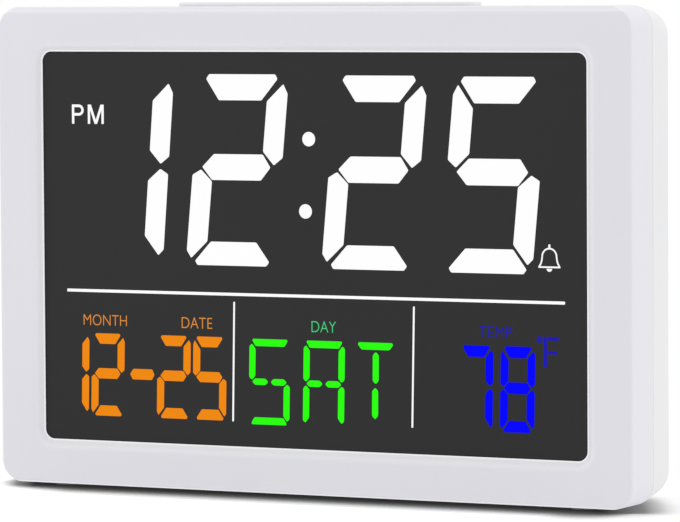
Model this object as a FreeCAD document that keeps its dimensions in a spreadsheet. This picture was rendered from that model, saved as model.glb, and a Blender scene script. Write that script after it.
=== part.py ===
import FreeCAD, Part
import math, os
import PartDesign, Sketcher

os.makedirs("parts", exist_ok=True)
doc = FreeCAD.newDocument("DayClock")
sheet = doc.addObject("Spreadsheet::Sheet", "sizes")
rowCount = 0
nodes = []


class Size:                                 # a number together with the sheet expression behind it
    def __init__(self, text, value):
        self.text = text
        self.value = float(value)

    def join(self, sign, other, value, swap=False):
        text = other.text if isinstance(other, Size) else repr(float(other))
        pair = (text, self.text) if swap else (self.text, text)
        return Size("(%s %s %s)" % (pair[0], sign, pair[1]), value)

    def __add__(self, other):
        return self.join("+", other, self.value + number(other))

    def __radd__(self, other):
        return self.join("+", other, number(other) + self.value, True)

    def __sub__(self, other):
        return self.join("-", other, self.value - number(other))

    def __rsub__(self, other):
        return self.join("-", other, number(other) - self.value, True)

    def __mul__(self, other):
        return self.join("*", other, self.value * number(other))

    def __rmul__(self, other):
        return self.join("*", other, number(other) * self.value, True)

    def __truediv__(self, other):
        return self.join("/", other, self.value / number(other))

    def __neg__(self):
        return self * -1


def number(value):
    return value.value if isinstance(value, Size) else float(value)


def size(name, value):                      # one named row of the sheet
    global rowCount
    rowCount += 1
    sheet.set("A%d" % rowCount, name)
    sheet.set("B%d" % rowCount, str(value))
    sheet.setAlias("B%d" % rowCount, name)
    return Size("sizes." + name, value)


def bind(thing, path, value):
    if isinstance(value, Size):
        thing.setExpression(path, value.text)
        return
    thing.setExpression(path, repr(float(value)))


# ---- outer case, +Z up, front towards -Y ----
caseWidth = size("caseWidth", 190)
caseHeight = size("caseHeight", 130.5)
caseDepth = size("caseDepth", 28)
frontDepth = size("frontDepth", 13.5)       # front frame, from its face to the parting line
wall = size("wallThick", 2.2)
tongueThick = size("tongueThick", 1)        # locating tongue of the rear cover, inside the front frame
tongueHigh = size("tongueHigh", 2)
tonguePlay = size("tonguePlay", 0.15)
faceRound = size("faceRound", 0.8)
frontCorner = size("frontCorner", 6)
rearCorner = size("rearCorner", 7.5)
rearDraft = size("rearDraft", 1.2)          # how far the rear cover draws in over its depth
rearRound = size("rearRound", 3)
partingEdge = size("partingEdge", 0.35)     # small bevel on both shells along the parting line
footDrop = size("footDrop", 0.8)            # case bottom above the table
footRadius = size("footRadius", 3.5)
footHeight = size("footHeight", 1.8)
footInset = size("footInset", 17)
footFront = size("footFront", 7)
footRear = size("footRear", 6)

# ---- window in the front frame ----
sideBorder = size("sideBorder", 13.3)       # case edge to the window
topBorder = size("topBorder", 12.15)
viewCorner = size("viewCorner", 2.7)
bevelWide = size("bevelWide", 1.6)
bevelDeep = size("bevelDeep", 1.4)
bevelRound = size("bevelRound", 3)         # softens the edge between the face and the bevel
ledgeWide = size("ledgeWide", 0.3)         # flat rim between the bevel and the window
lipDeep = size("lipDeep", 0.2)
ribInset = size("ribInset", 10)             # row of ribs under the window, inside the tray screws
ribThick = size("ribThick", 1.2)
ribHigh = size("ribHigh", 3.6)
ribDeep = size("ribDeep", 6)

# ---- display stack, front to back ----
gasketThick = size("gasketThick", 0.2)
gasketInset = size("gasketInset", 0.25)
polariserThick = size("polariserThick", 0.2)
glassThick = size("glassThick", 1.1)
filmThick = size("filmThick", 0.2)
diffuserThick = size("diffuserThick", 0.3)
guideThick = size("guideThick", 3)
reflectorThick = size("reflectorThick", 0.2)
trayFloor = size("trayFloor", 1.4)
trayWall = size("trayWall", 1)
glassLap = size("glassLap", 1.6)            # glass beyond the view on the sides and the top
ledgeLap = size("ledgeLap", 4.5)            # front glass beyond the view at the bottom, with its contacts
stackGap = size("stackGap", 0.2)            # play round the sheets
ledWide = size("ledWide", 1)
ledTall = size("ledTall", 3.2)
ledBoardThick = size("ledBoardThick", 0.8)
zebraThick = size("zebraThick", 1.8)
zebraInset = size("zebraInset", 11.7)

# ---- boards ----
boardThick = size("boardThick", 1.6)
boardGap = size("boardGap", 1.6)            # standoff between tray and main board
boardInset = size("boardInset", 19)         # from the case sides
boardFoot = size("boardFoot", 3.75)         # from the case bottom, clear of the tongue
boardTall = size("boardTall", 47.5)
boardScrewInset = size("boardScrewInset", 3.5)
boardScrewTop = size("boardScrewTop", 4)
boardScrewFoot = size("boardScrewFoot", 19.5)

# ---- fasteners ----
caseScrewGap = size("caseScrewGap", 0.5)    # between the display tray and the case bosses
caseScrewInset = size("caseScrewInset", 7.85)
caseBossRadius = size("caseBossRadius", 2.6)
caseScrewRadius = size("caseScrewRadius", 1.25)
caseHeadRadius = size("caseHeadRadius", 2.3)
caseHeadHigh = size("caseHeadHigh", 1.8)
casePilotDeep = size("casePilotDeep", 9.5)
screwPlay = size("screwPlay", 0.05)
sinkRadius = size("sinkRadius", 2.7)
sinkSeat = size("sinkSeat", 3)
trayScrewInset = size("trayScrewInset", 35)
trayBossRadius = size("trayBossRadius", 2.1)
smallScrewRadius = size("smallScrewRadius", 0.85)
smallHeadRadius = size("smallHeadRadius", 1.7)
smallHeadHigh = size("smallHeadHigh", 1.1)

# ---- snooze bar ----
barHalf = size("barHalf", 44.6)
barWide = size("barWide", 8)
barProud = size("barProud", 1.2)
barCorner = size("barCorner", 2.5)
barRound = size("barRound", 0.5)
slidePlay = size("slidePlay", 0.3)          # round every moving key in its hole
flangeLip = size("flangeLip", 1.4)
flangeThick = size("flangeThick", 1.4)
flangeDrop = size("flangeDrop", 0.15)       # top of the flange under the case wall
stemDrop = size("stemDrop", 1.1)
stemX = size("stemX", 30)
shelfAside = size("shelfAside", 8)          # board shelves beside the stems
shelfHalf = size("shelfHalf", 2.5)
shelfThick = size("shelfThick", 2.4)
shelfReach = size("shelfReach", 2)
shelfScrewY = size("shelfScrewY", 4)

# ---- push switches ----
switchSide = size("switchSide", 6)
switchHigh = size("switchHigh", 3.5)
plungerRadius = size("plungerRadius", 1.7)
plungerPlay = size("plungerPlay", 0.08)
plungerProud = size("plungerProud", 1)
plungerDeep = size("plungerDeep", 1.1)
switchBore = size("switchBore", 2.1)

# ---- rear buttons ----
buttonDrop = size("buttonDrop", 20.25)      # from the case top to the row
buttonPitch = size("buttonPitch", 16)
buttonWide = size("buttonWide", 10)
buttonTall = size("buttonTall", 5.4)
buttonCorner = size("buttonCorner", 2.2)
panelDeep = size("panelDeep", 0.8)
panelHalf = size("panelHalf", 41.5)
panelTall = size("panelTall", 9.6)
panelCorner = size("panelCorner", 3)
buttonSunk = size("buttonSunk", 0.1)        # button tops below the rear face
keyFlange = size("keyFlange", 1)
keyFlangeThick = size("keyFlangeThick", 1)
keyStem = size("keyStem", 1.8)
postX = size("postX", 41.5)
postRadius = size("postRadius", 2.3)
seatCorner = size("seatCorner", 1.2)        # corners of the recesses in the rear cover

# ---- battery bay ----
bayInset = size("bayInset", 12)             # from the case side
bayLong = size("bayLong", 52)
bayRise = size("bayRise", 33.25)            # middle of the bay above the case bottom
cellRadius = size("cellRadius", 5.15)
cellLong = size("cellLong", 44.5)
nubRadius = size("nubRadius", 1.9)
nubLong = size("nubLong", 0.9)
cellPitch = size("cellPitch", 11.2)
cellEdge = size("cellEdge", 0.5)
bayWall = size("bayWall", 2)
bayFloor = size("bayFloor", 1.2)
doorThick = size("doorThick", 1.5)
doorLap = size("doorLap", 1.6)
doorPlay = size("doorPlay", 0.25)
doorBarrel = size("doorBarrel", 1.1)
doorPin = size("doorPin", 0.7)
doorPinLong = size("doorPinLong", 1.2)
doorFoot = size("doorFoot", 2)
contactThick = size("contactThick", 0.4)
contactHalf = size("contactHalf", 4)
springThick = size("springThick", 0.35)     # folded leaf springs
springFold = size("springFold", 3.2)
springWide = size("springWide", 6)
wireRadius = size("wireRadius", 0.6)
wireDrop = size("wireDrop", 1.6)

# ---- fold-out leg ----
legHinge = size("legHinge", 14)
legRise = size("legRise", 9.25)             # folded leg's end above the case bottom
legGap = size("legGap", 8.4)                # from the leg to the battery bay
legTaper = size("legTaper", 5.6)
legThick = size("legThick", 3.6)
legSunk = size("legSunk", 0.2)
barrelRadius = size("barrelRadius", 2.4)
trunnionRadius = size("trunnionRadius", 1.5)
trunnionPlay = size("trunnionPlay", 0.05)
legPlay = size("legPlay", 0.5)
recessDeep = size("recessDeep", 6.1)
recessWall = size("recessWall", 1.7)
heelHigh = size("heelHigh", 3.6)
heelThick = size("heelThick", 2)
heelInset = size("heelInset", 6)
heelPlay = size("heelPlay", 0.6)
legShoulder = size("legShoulder", 24)       # straight part of the leg below its hinge
legCorner = size("legCorner", 3)
fingerInset = size("fingerInset", 5)        # hollow under the leg's end for a fingertip
fingerDown = size("fingerDown", 4.1)
fingerDeep = size("fingerDeep", 4)
fingerCorner = size("fingerCorner", 1.5)

# ---- keyholes, vents and power opening ----
keyholeInset = size("keyholeInset", 35)
keyholeDrop = size("keyholeDrop", 39.25)
keyholeBig = size("keyholeBig", 4)
keyholeSlot = size("keyholeSlot", 2)
keyholeRise = size("keyholeRise", 7)
ventInset = size("ventInset", 35)
ventRise = size("ventRise", 32.25)
ventLong = size("ventLong", 16)
ventWide = size("ventWide", 1.6)
ventPitch = size("ventPitch", 3.4)
jackInset = size("jackInset", 29)
jackRise = size("jackRise", 13.25)
jackHole = size("jackHole", 4.2)

# ---- grips and leg pockets ----
gripLong = size("gripLong", 14)
gripWide = size("gripWide", 1)
gripDeep = size("gripDeep", 0.5)
gripRise = size("gripRise", 3)
pocketEnd = size("pocketEnd", 8)            # hollows in the leg's inner face, above its end
pocketHigh = size("pocketHigh", 4)
pocketRib = size("pocketRib", 2.4)

# ---- parts on the main board ----
chipX = size("chipX", -4)
chipRise = size("chipRise", 31.25)
chipHalf = size("chipHalf", 9)
chipTall = size("chipTall", 3.8)
chipHigh = size("chipHigh", 1.6)
leadLong = size("leadLong", 5.3)
leadWide = size("leadWide", 0.45)
leadThick = size("leadThick", 0.25)
canInset = size("canInset", 19)            # from the battery bay
canDrop = size("canDrop", 7)
canRadius = size("canRadius", 1.5)
canLong = size("canLong", 8)
capRadius = size("capRadius", 3.15)
capHigh = size("capHigh", 7)
capInset = size("capInset", 51)
capStep = size("capStep", 8)
regulatorInset = size("regulatorInset", 38)
regulatorRise = size("regulatorRise", 13.25)
regulatorWide = size("regulatorWide", 6.4)
regulatorTall = size("regulatorTall", 3.4)
regulatorHigh = size("regulatorHigh", 1.6)
tabInset = size("tabInset", 1.6)
tabTall = size("tabTall", 1.8)
tabThick = size("tabThick", 0.3)
chipPartX = size("chipPartX", 8)
chipPartRise = size("chipPartRise", 19.25)
chipPartLong = size("chipPartLong", 1.6)
chipPartTall = size("chipPartTall", 0.8)
chipPartHigh = size("chipPartHigh", 0.6)
chipPitch = size("chipPitch", 4.2)
chipStep = size("chipStep", 3)
buzzerRadius = size("buzzerRadius", 6)
buzzerHigh = size("buzzerHigh", 7.5)
buzzerHole = size("buzzerHole", 1.2)
sensorInset = size("sensorInset", 23.5)
sensorRise = size("sensorRise", 37.25)
beadRadius = size("beadRadius", 1.4)
beadHigh = size("beadHigh", 6.5)
sensorWire = size("sensorWire", 0.5)
sensorPitch = size("sensorPitch", 1.4)
jackHalf = size("jackHalf", 4.5)
jackBore = size("jackBore", 3.1)
jackDeep = size("jackDeep", 9)
jackPin = size("jackPin", 1)

# ---- screw lengths ----
caseScrewLong = size("caseScrewLong", 11.5)
trayScrewLong = size("trayScrewLong", 5.5)
boardScrewLong = size("boardScrewLong", 3.6)

# ---- control boards and flat cables ----
buttonBoardLap = size("buttonBoardLap", 3)
buttonBoardTall = size("buttonBoardTall", 5.5)
snoozeBoardLap = size("snoozeBoardLap", 6)
snoozeBoardFront = size("snoozeBoardFront", 2.5)
snoozeBoardEnd = size("snoozeBoardEnd", 8)
cableThick = size("cableThick", 0.3)
cableX = size("cableX", -44)
cableWide = size("cableWide", 10)
cableEnd = size("cableEnd", 3)
cableBend = size("cableBend", 7)
tailX = size("tailX", 8)
tailWide = size("tailWide", 8)

doc.recompute()
zero = Size("0", 0)

# ---- places worked out from the sizes ----
faceY = -caseDepth / 2
backY = caseDepth / 2
partY = faceY + frontDepth
innerFrontY = faceY + wall
innerBackY = backY - wall
halfW = caseWidth / 2
halfH = caseHeight / 2
caseMid = footDrop + halfH                  # height of the case centre above the table
viewX = halfW - sideBorder
viewZ = halfH - topBorder
gasketY = faceY + bevelDeep + lipDeep
polariserY = gasketY + gasketThick
frontGlassY = polariserY + polariserThick
rearGlassY = frontGlassY + glassThick
rearPolariserY = rearGlassY + glassThick
filmY = rearPolariserY + polariserThick
diffuserY = filmY + filmThick
guideY = diffuserY + diffuserThick
reflectorY = guideY + guideThick
trayFloorY = reflectorY + reflectorThick
trayBackY = trayFloorY + trayFloor
boardY = trayBackY + boardGap
boardBackY = boardY + boardThick
glassX = viewX + glassLap
glassTop = viewZ + glassLap
glassLow = -viewZ - ledgeLap
rearGlassLow = -viewZ - stackGap * 2
trayX = glassX + stackGap + trayWall
trayTop = glassTop + stackGap + trayWall
trayLow = glassLow - stackGap - trayWall
earThick = 1.7 * trayWall
earY = trayBackY - earThick
footSpread = halfW - footInset
caseScrewX = trayX + caseScrewGap + caseBossRadius
caseScrewZ = halfH - caseScrewInset
trayScrewX = halfW - trayScrewInset
ribHalf = trayScrewX - ribInset
zebraHalf = viewX - zebraInset
boardHalf = halfW - boardInset
boardLow = halfH - boardFoot
boardTop = boardLow - boardTall
boardScrewX = boardHalf - boardScrewInset
buttonRow = halfH - buttonDrop
bayRight = halfW - bayInset
bayLeft = bayRight - bayLong
bayMid = bayRise - halfH
legLow = halfH - legRise
legHalfTop = bayLeft - legGap
legHalfLow = legHalfTop - legTaper
keyholeX = halfW - keyholeInset
keyholeZ = halfH - keyholeDrop
ventX = ventInset - halfW
ventZ = ventRise - halfH
jackX = jackInset - halfW
jackZ = jackRise - halfH
chipZ = chipRise - halfH
sensorX = sensorInset - halfW
canX = bayLeft - canInset
rimX = viewX + ledgeWide
rimZ = viewZ + ledgeWide
rimCorner = viewCorner + ledgeWide
sensorZ = sensorRise - halfH


# ---- ways of drawing and adding material ----
def sketchOn(body, name, plane, offset):
    sk = body.newObject("Sketcher::SketchObject", name)
    for feature in body.Origin.OriginFeatures:
        if feature.Role == plane:
            sk.AttachmentSupport = (feature, "")
    sk.MapMode = "FlatFace"
    bind(sk, "AttachmentOffset.Base.z", offset)
    return sk


def hold(sk, kind, args, value):            # one driving dimension tied to the sheet
    row = sk.addConstraint(Sketcher.Constraint(kind, *args, number(value)))
    bind(sk, "Constraints[%d]" % row, value)


def place(sk, line, end, x, z):
    hold(sk, "DistanceX", (-1, 1, line, end), x)
    hold(sk, "DistanceY", (-1, 1, line, end), z)


def flat(x, z):
    return FreeCAD.Vector(number(x), number(z), 0)


def outline(points):                        # straight-sided closed outline
    def draw(sk):
        lines = []
        for step in range(len(points)):
            here = points[step]
            there = points[(step + 1) % len(points)]
            lines.append(sk.addGeometry(Part.LineSegment(flat(*here), flat(*there))))
        for step, line in enumerate(lines):
            after = lines[(step + 1) % len(lines)]
            sk.addConstraint(Sketcher.Constraint("Coincident", line, 2, after, 1))
            place(sk, line, 1, *points[step])
    return draw


def rect(x0, x1, z0, z1):
    return outline([(x0, z0), (x1, z0), (x1, z1), (x0, z1)])


def round4(x0, x1, z0, z1, radius):         # rectangle with four round corners
    def draw(sk):
        a, b, c, d, r = [number(value) for value in (x0, x1, z0, z1, radius)]
        corners = [(b - r, c + r, 270), (b - r, d - r, 0), (a + r, d - r, 90), (a + r, c + r, 180)]
        ends = [((a + r, c), (b - r, c)), ((b, c + r), (b, d - r)), ((b - r, d), (a + r, d)),
                ((a, d - r), (a, c + r))]
        lines = [sk.addGeometry(Part.LineSegment(flat(*p), flat(*q))) for p, q in ends]
        arcs = []
        for cx, cz, start in corners:
            circle = Part.Circle(flat(cx, cz), FreeCAD.Vector(0, 0, 1), r)
            arcs.append(sk.addGeometry(Part.ArcOfCircle(circle, math.radians(start),
                math.radians(start + 90))))
        for step in range(4):
            sk.addConstraint(Sketcher.Constraint("Tangent", lines[step], 2, arcs[step], 1))
            sk.addConstraint(Sketcher.Constraint("Tangent", arcs[step], 2, lines[(step + 1) % 4], 1))
            sk.addConstraint(Sketcher.Constraint("Horizontal" if step % 2 == 0 else "Vertical", lines[step]))
        for step in range(1, 4):
            sk.addConstraint(Sketcher.Constraint("Equal", arcs[0], arcs[step]))
        hold(sk, "Radius", (arcs[0],), radius)
        hold(sk, "DistanceY", (-1, 1, lines[0], 1), z0)
        hold(sk, "DistanceX", (-1, 1, lines[1], 1), x1)
        hold(sk, "DistanceY", (-1, 1, lines[2], 1), z1)
        hold(sk, "DistanceX", (-1, 1, lines[3], 1), x0)
    return draw


def ring(x, z, radius):
    def draw(sk):
        circle = Part.Circle(flat(x, z), FreeCAD.Vector(0, 0, 1), number(radius))
        row = sk.addGeometry(circle)
        place(sk, row, 3, x, z)
        hold(sk, "Radius", (row,), radius)
    return draw


def newBody(name):
    return doc.addObject("PartDesign::Body", name)


planeOf = {"X": "YZ_Plane", "Y": "XZ_Plane", "Z": "XY_Plane"}


def drawAt(body, name, axis, shapes, start):
    sk = sketchOn(body, name + "Sketch", planeOf[axis], -start if axis == "Y" else start)
    for shape in shapes:
        shape(sk)
    return sk


def pad(body, name, axis, shapes, start, end):      # material from start to end along the axis
    feature = body.newObject("PartDesign::Pad", name)
    feature.Profile = drawAt(body, name, axis, shapes, start)
    bind(feature, "Length", end - start)
    feature.Reversed = axis == "Y"
    body.Tip = feature
    doc.recompute()
    return feature


def cut(body, name, axis, shapes, start, end):      # a hollow from start to end along the axis
    before = body.Shape.Volume
    feature = body.newObject("PartDesign::Pocket", name)
    feature.Profile = drawAt(body, name, axis, shapes, start)
    bind(feature, "Length", end - start)
    feature.Reversed = axis != "Y"
    body.Tip = feature
    doc.recompute()
    if not body.Shape.Volume < before - 1e-6:
        raise RuntimeError(name + " removes nothing")
    return feature


def blend(body, kind, name, draws, places):         # a loft between two outlines along Y
    sketches = [drawAt(body, name + side, "Y", [draw], where)
                for side, draw, where in zip(("Front", "Back"), draws, places)]
    feature = body.newObject("PartDesign::" + kind, name)
    feature.Profile = sketches[0]
    feature.Sections = [sketches[1]]
    feature.Ruled = True
    body.Tip = feature
    doc.recompute()
    return feature


def turn(body, name, points, axis="V_Axis"):        # a turned piece about the Y axis
    feature = body.newObject("PartDesign::Revolution", name)
    sk = drawAt(body, name, "Z", [outline(points)], Size("0", 0))
    feature.Profile = sk
    feature.ReferenceAxis = (sk, [axis])
    feature.Angle = 360
    body.Tip = feature
    doc.recompute()
    return feature


def soften(body, kind, name, radius, test):         # fillet or chamfer on the edges that pass the test
    base = body.Tip
    names = []
    for row, edge in enumerate(base.Shape.Edges):
        points = [edge.valueAt(edge.FirstParameter + part * (edge.LastParameter - edge.FirstParameter))
                  for part in (0.0, 0.5, 1.0)]
        if all(test(point) for point in points):
            names.append("Edge%d" % (row + 1))
    if not names:
        raise RuntimeError(name + " finds no edges")
    feature = body.newObject("PartDesign::" + kind, name)
    feature.Base = (base, names)
    bind(feature, "Radius" if kind == "Fillet" else "Size", radius)
    body.Tip = feature
    doc.recompute()
    return feature


def repeat(body, name, originals, sk, axis, length, count):
    feature = body.newObject("PartDesign::LinearPattern", name)
    feature.Originals = originals
    feature.Direction = (sk, [axis])
    bind(feature, "Length", length)
    feature.Occurrences = count
    body.Tip = feature
    doc.recompute()
    return feature


def near(value, target, slack=0.01):
    return abs(value - number(target)) < slack


def finish(thing, label):                           # a node of the assembly, raised onto its feet
    thing.Label = label
    bind(thing, "Placement.Base.z", caseMid)
    nodes.append(thing)
    print("node", label)
    return thing


def sheetPiece(label, draws, start, thick):         # a flat sheet across the depth
    body = newBody(label.title().replace("_", ""))
    pad(body, "Sheet" + body.Name, "Y", draws, start, start + thick)
    return finish(body, label)


def box(name, x0, x1, y0, y1, z0, z1):
    block = doc.addObject("Part::Box", name)
    for side, low, high in (("Length", x0, x1), ("Width", y0, y1), ("Height", z0, z1)):
        bind(block, side, high - low)
    for axis, low in (("x", x0), ("y", y0), ("z", z0)):
        bind(block, "Placement.Base." + axis, low)
    return block


def group(label, pieces):
    bundle = doc.addObject("Part::Compound", label.title().replace("_", ""))
    bundle.Links = pieces
    return finish(bundle, label)


def copies(label, master, places):                  # the same piece set down in several places
    links = []
    for row, spot in enumerate(places):
        link = doc.addObject("App::Link", "%s%d" % (label.title().replace("_", ""), row + 1))
        link.LinkedObject = master
        for axis, value in zip("xyz", spot):
            bind(link, "Placement.Base." + axis, value)
        links.append(link)
    doc.recompute()
    return group(label, links) if label else links


def turned(label, master, places):                  # copies that each have a turn of their own
    links = copies("", master, [spot for spot, how in places])
    for link, (spot, how) in zip(links, places):
        link.Placement = FreeCAD.Placement(link.Placement.Base, how)
    return group(label, links)


upright = FreeCAD.Rotation(FreeCAD.Vector(1, 0, 0), 90)
backward = FreeCAD.Rotation(FreeCAD.Vector(0, 0, 1), 180)
alongX = FreeCAD.Rotation(FreeCAD.Vector(0, 0, 1), -90)
againstX = FreeCAD.Rotation(FreeCAD.Vector(0, 0, 1), 90)


# ---- front frame ----
frame = newBody("FrontFrame")
pad(frame, "FrameBlock", "Y", [round4(-halfW, halfW, -halfH, halfH, frontCorner)], faceY, partY)
soften(frame, "Fillet", "FaceRound", faceRound, lambda p: near(p.y, faceY))
soften(frame, "Chamfer", "PartingFront", partingEdge, lambda p: near(p.y, partY))
inX = halfW - wall
inZ = halfH - wall
cut(frame, "FrameHollow", "Y", [round4(-inX, inX, -inZ, inZ, frontCorner - wall)], innerFrontY, partY)
cut(frame, "ViewOpening", "Y", [round4(-viewX, viewX, -viewZ, viewZ, viewCorner)], faceY, innerFrontY)
blend(frame, "SubtractiveLoft", "ViewBevel",
      [round4(-rimX - bevelWide, rimX + bevelWide, -rimZ - bevelWide, rimZ + bevelWide,
      rimCorner + bevelWide),
       round4(-rimX, rimX, -rimZ, rimZ, rimCorner)], [faceY, faceY + bevelDeep])
soften(frame, "Fillet", "BevelRound", bevelRound, lambda p: near(p.y, faceY) and
       abs(p.x) < number(rimX + bevelWide * 1.01) and abs(p.z) < number(rimZ + bevelWide * 1.01))
rebateX = glassX + stackGap
cut(frame, "GlassRebate", "Y", [rect(-rebateX, rebateX, glassLow - stackGap, glassTop + stackGap)],
    gasketY, innerFrontY)
caseSpots = [(sx * caseScrewX, sz * caseScrewZ) for sx in (-1, 1) for sz in (-1, 0, 1)]
pad(frame, "CaseBosses", "Y", [ring(x, z, caseBossRadius) for x, z in caseSpots], innerFrontY, partY)
cut(frame, "CasePilots", "Y", [ring(x, z, caseScrewRadius + screwPlay) for x, z in caseSpots],
    partY - casePilotDeep, partY)
traySpots = [(sx * trayScrewX, z) for sx in (-1, 1) for z in (trayTop + trayBossRadius,
    trayLow - trayBossRadius)]
pad(frame, "TrayBosses", "Y", [ring(x, z, trayBossRadius) for x, z in traySpots], innerFrontY, earY)
cut(frame, "TrayPilots", "Y", [ring(x, z, smallScrewRadius + screwPlay) for x, z in traySpots],
    innerFrontY + trayWall, earY)
rib = pad(frame, "FrameRib", "Y", [rect(-ribHalf, ribThick - ribHalf, -inZ, ribHigh - inZ)],
    innerFrontY, innerFrontY + ribDeep)
repeat(frame, "FrameRibs", [rib], rib.Profile[0], "H_Axis", ribHalf * 2 - ribThick, 5)
slotX = barHalf + slidePlay
slotY = barWide / 2 + slidePlay
cut(frame, "BarSlotFront", "Z", [round4(-slotX, slotX, -slotY, slotY + barCorner, barCorner + slidePlay)],
    inZ - wall / 2, halfH + barProud)
for side, sign in (("Left", -1), ("Right", 1)):
    cut(frame, "FootPocketFront" + side, "Z", [ring(sign * footSpread, -footFront, footRadius + screwPlay)],
        -halfH - footDrop, -halfH - footDrop + footHeight)
finish(frame, "front_frame")

# ---- rear cover ----
cover = newBody("RearCover")
drawIn = rearDraft * (innerBackY - partY) / (backY - partY)


def shell(inset, radius):
    return round4(-halfW + inset, halfW - inset, -halfH + inset, halfH - inset, radius)


blend(cover, "AdditiveLoft", "CoverEdge", [shell(partingEdge, frontCorner - partingEdge),
    shell(zero, frontCorner)],
      [partY, partY + partingEdge])
blend(cover, "AdditiveLoft", "CoverBlock", [shell(zero, frontCorner), shell(rearDraft, rearCorner)],
      [partY + partingEdge, backY])
blend(cover, "SubtractiveLoft", "CoverHollow",
      [shell(wall, frontCorner - wall), shell(wall + drawIn, rearCorner - wall)], [partY, innerBackY])
soften(cover, "Fillet", "RearRound", rearRound, lambda p: near(p.y, backY))
tongueOut = wall + tonguePlay
tongueIn = tongueOut + tongueThick
pad(cover, "Tongue", "Y", [shell(tongueOut, frontCorner - tongueOut),
    shell(tongueIn, frontCorner - tongueIn)],
    partY - tongueHigh, partY + tongueHigh / 2)
pad(cover, "TongueRoot", "Y", [shell(wall / 2, frontCorner - wall / 2),
    shell(tongueIn, frontCorner - tongueIn)],
    partY + tongueHigh / 4, partY + tongueHigh * 2)
reliefHalf = barHalf + flangeLip * 2
cut(cover, "BarRelief", "Y", [rect(-reliefHalf, reliefHalf, inZ - wall * 0.8, inZ)],
    partY - tongueHigh, barWide / 2 + flangeLip + slidePlay)
bayHalf = cellPitch + cellRadius + stackGap * 2
bayLow = bayMid - bayHalf
bayHigh = bayMid + bayHalf
doorY = backY - doorThick
bayInY = doorY - cellRadius * 2 - stackGap * 2
recessY = backY - recessDeep
recessX = legHalfTop + legPlay
recessTop = legHinge + heelHigh + heelPlay
recessLow = -legLow - legPlay
skinY = innerBackY + wall / 4
pad(cover, "BayBlock", "Y", [rect(bayLeft - bayWall, bayRight + bayWall, bayLow - bayWall,
    bayHigh + bayWall)],
    bayInY - bayFloor, skinY)
pad(cover, "RecessBlock", "Y", [rect(-recessX - recessWall, recessX + recessWall, recessLow - recessWall,
    recessTop + recessWall)], recessY - recessWall, skinY)
pad(cover, "PanelBlock", "Y", [rect(-panelHalf - wall, panelHalf + wall, buttonRow - panelTall / 2 - wall,
    buttonRow + panelTall / 2 + wall)], innerBackY - panelDeep, skinY)
pad(cover, "CaseTubes", "Y", [ring(x, z, sinkRadius + trayWall) for x, z in caseSpots], partY, skinY)
posts = [(-postX, buttonRow), (postX, buttonRow)]
keyY = backY - buttonSunk
flangeY = innerBackY - panelDeep - screwPlay * 2
plungeY = flangeY - keyFlangeThick - keyStem
switchY = plungeY - plungerProud - switchHigh
pad(cover, "ButtonPosts", "Y", [ring(x, z, postRadius) for x, z in posts], switchY, skinY)
barFlangeZ = inZ - flangeDrop
plungeZ = barFlangeZ - flangeThick - stemDrop
switchZ = plungeZ - plungerProud - switchHigh
shelfZ = switchZ - boardThick
shelfSpots = [(-stemX - shelfAside, shelfScrewY), (stemX + shelfAside, shelfScrewY)]
for side, (mid, deep) in zip(("Left", "Right"), shelfSpots):
    pad(cover, "Shelf" + side, "Y", [rect(mid - shelfHalf, mid + shelfHalf, shelfZ - shelfThick, shelfZ)],
        -shelfReach, skinY)
    cut(cover, "ShelfPilot" + side, "Z", [ring(mid, deep, smallScrewRadius + screwPlay)],
        shelfZ - shelfThick + screwPlay * 4, shelfZ)
cut(cover, "CellBay", "Y", [rect(bayLeft, bayRight, bayLow, bayHigh)], bayInY, backY)
doorLow = bayLow - doorLap
doorHigh = bayHigh + doorLap
cut(cover, "DoorSeat", "Y", [round4(bayLeft - doorLap, bayRight + doorLap, doorLow, doorHigh, seatCorner)],
    doorY, backY)
barrelZ = doorLow + doorPlay + doorBarrel
barrelY = backY - doorBarrel
cut(cover, "DoorTrough", "Y", [rect(bayLeft - doorLap, bayRight + doorLap, doorLow,
    barrelZ + doorBarrel + doorPlay)],
    barrelY - doorBarrel - stackGap, backY)
cut(cover, "DoorPinHoles", "X", [ring(barrelY, barrelZ, doorPin + trunnionPlay)],
    bayLeft - doorLap - doorPinLong, bayRight + doorLap + doorPinLong)
wireSpots = [bayMid - cellPitch, bayMid + cellPitch]
wireY = bayInY + wireDrop
cut(cover, "WireHoles", "X", [ring(wireY, z, wireRadius + stackGap) for z in wireSpots],
    bayLeft - bayWall, bayLeft)
cut(cover, "LegRecess", "Y", [round4(-recessX, recessX, recessLow, recessTop, seatCorner)], recessY, backY)
fingerHalf = legHalfLow - fingerInset
cut(cover, "FingerPocket", "Y", [round4(-fingerHalf, fingerHalf, recessLow - fingerDown,
    recessLow + fingerCorner * 2,
    fingerCorner)], backY - fingerDeep, backY)
cut(cover, "ButtonPanel", "Y", [round4(-panelHalf, panelHalf, buttonRow - panelTall / 2,
    buttonRow + panelTall / 2,
    panelCorner)], backY - panelDeep, backY)
buttonNames = ["set_button", "down_button", "up_button", "alarm_button", "light_button"]
buttonSpots = [buttonPitch * (step - 2) for step in range(5)]
holeX = buttonWide / 2 + slidePlay
holeZ = buttonTall / 2 + slidePlay
cut(cover, "ButtonHoles", "Y", [round4(x - holeX, x + holeX, buttonRow - holeZ, buttonRow + holeZ,
    buttonCorner + slidePlay) for x in buttonSpots], innerBackY - panelDeep - slidePlay, backY)
cut(cover, "PostPilots", "Y", [ring(x, z, smallScrewRadius + screwPlay) for x, z in posts],
    switchY, innerBackY - wall)
cut(cover, "CaseScrewWays", "Y", [ring(x, z, caseScrewRadius + screwPlay * 4) for x, z in caseSpots], partY,
    backY)
cut(cover, "CaseScrewSinks", "Y", [ring(x, z, sinkRadius) for x, z in caseSpots], sinkSeat, backY)
trunnionZ = legHinge
trunnionY = backY - barrelRadius - legSunk - stackGap / 2
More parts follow.
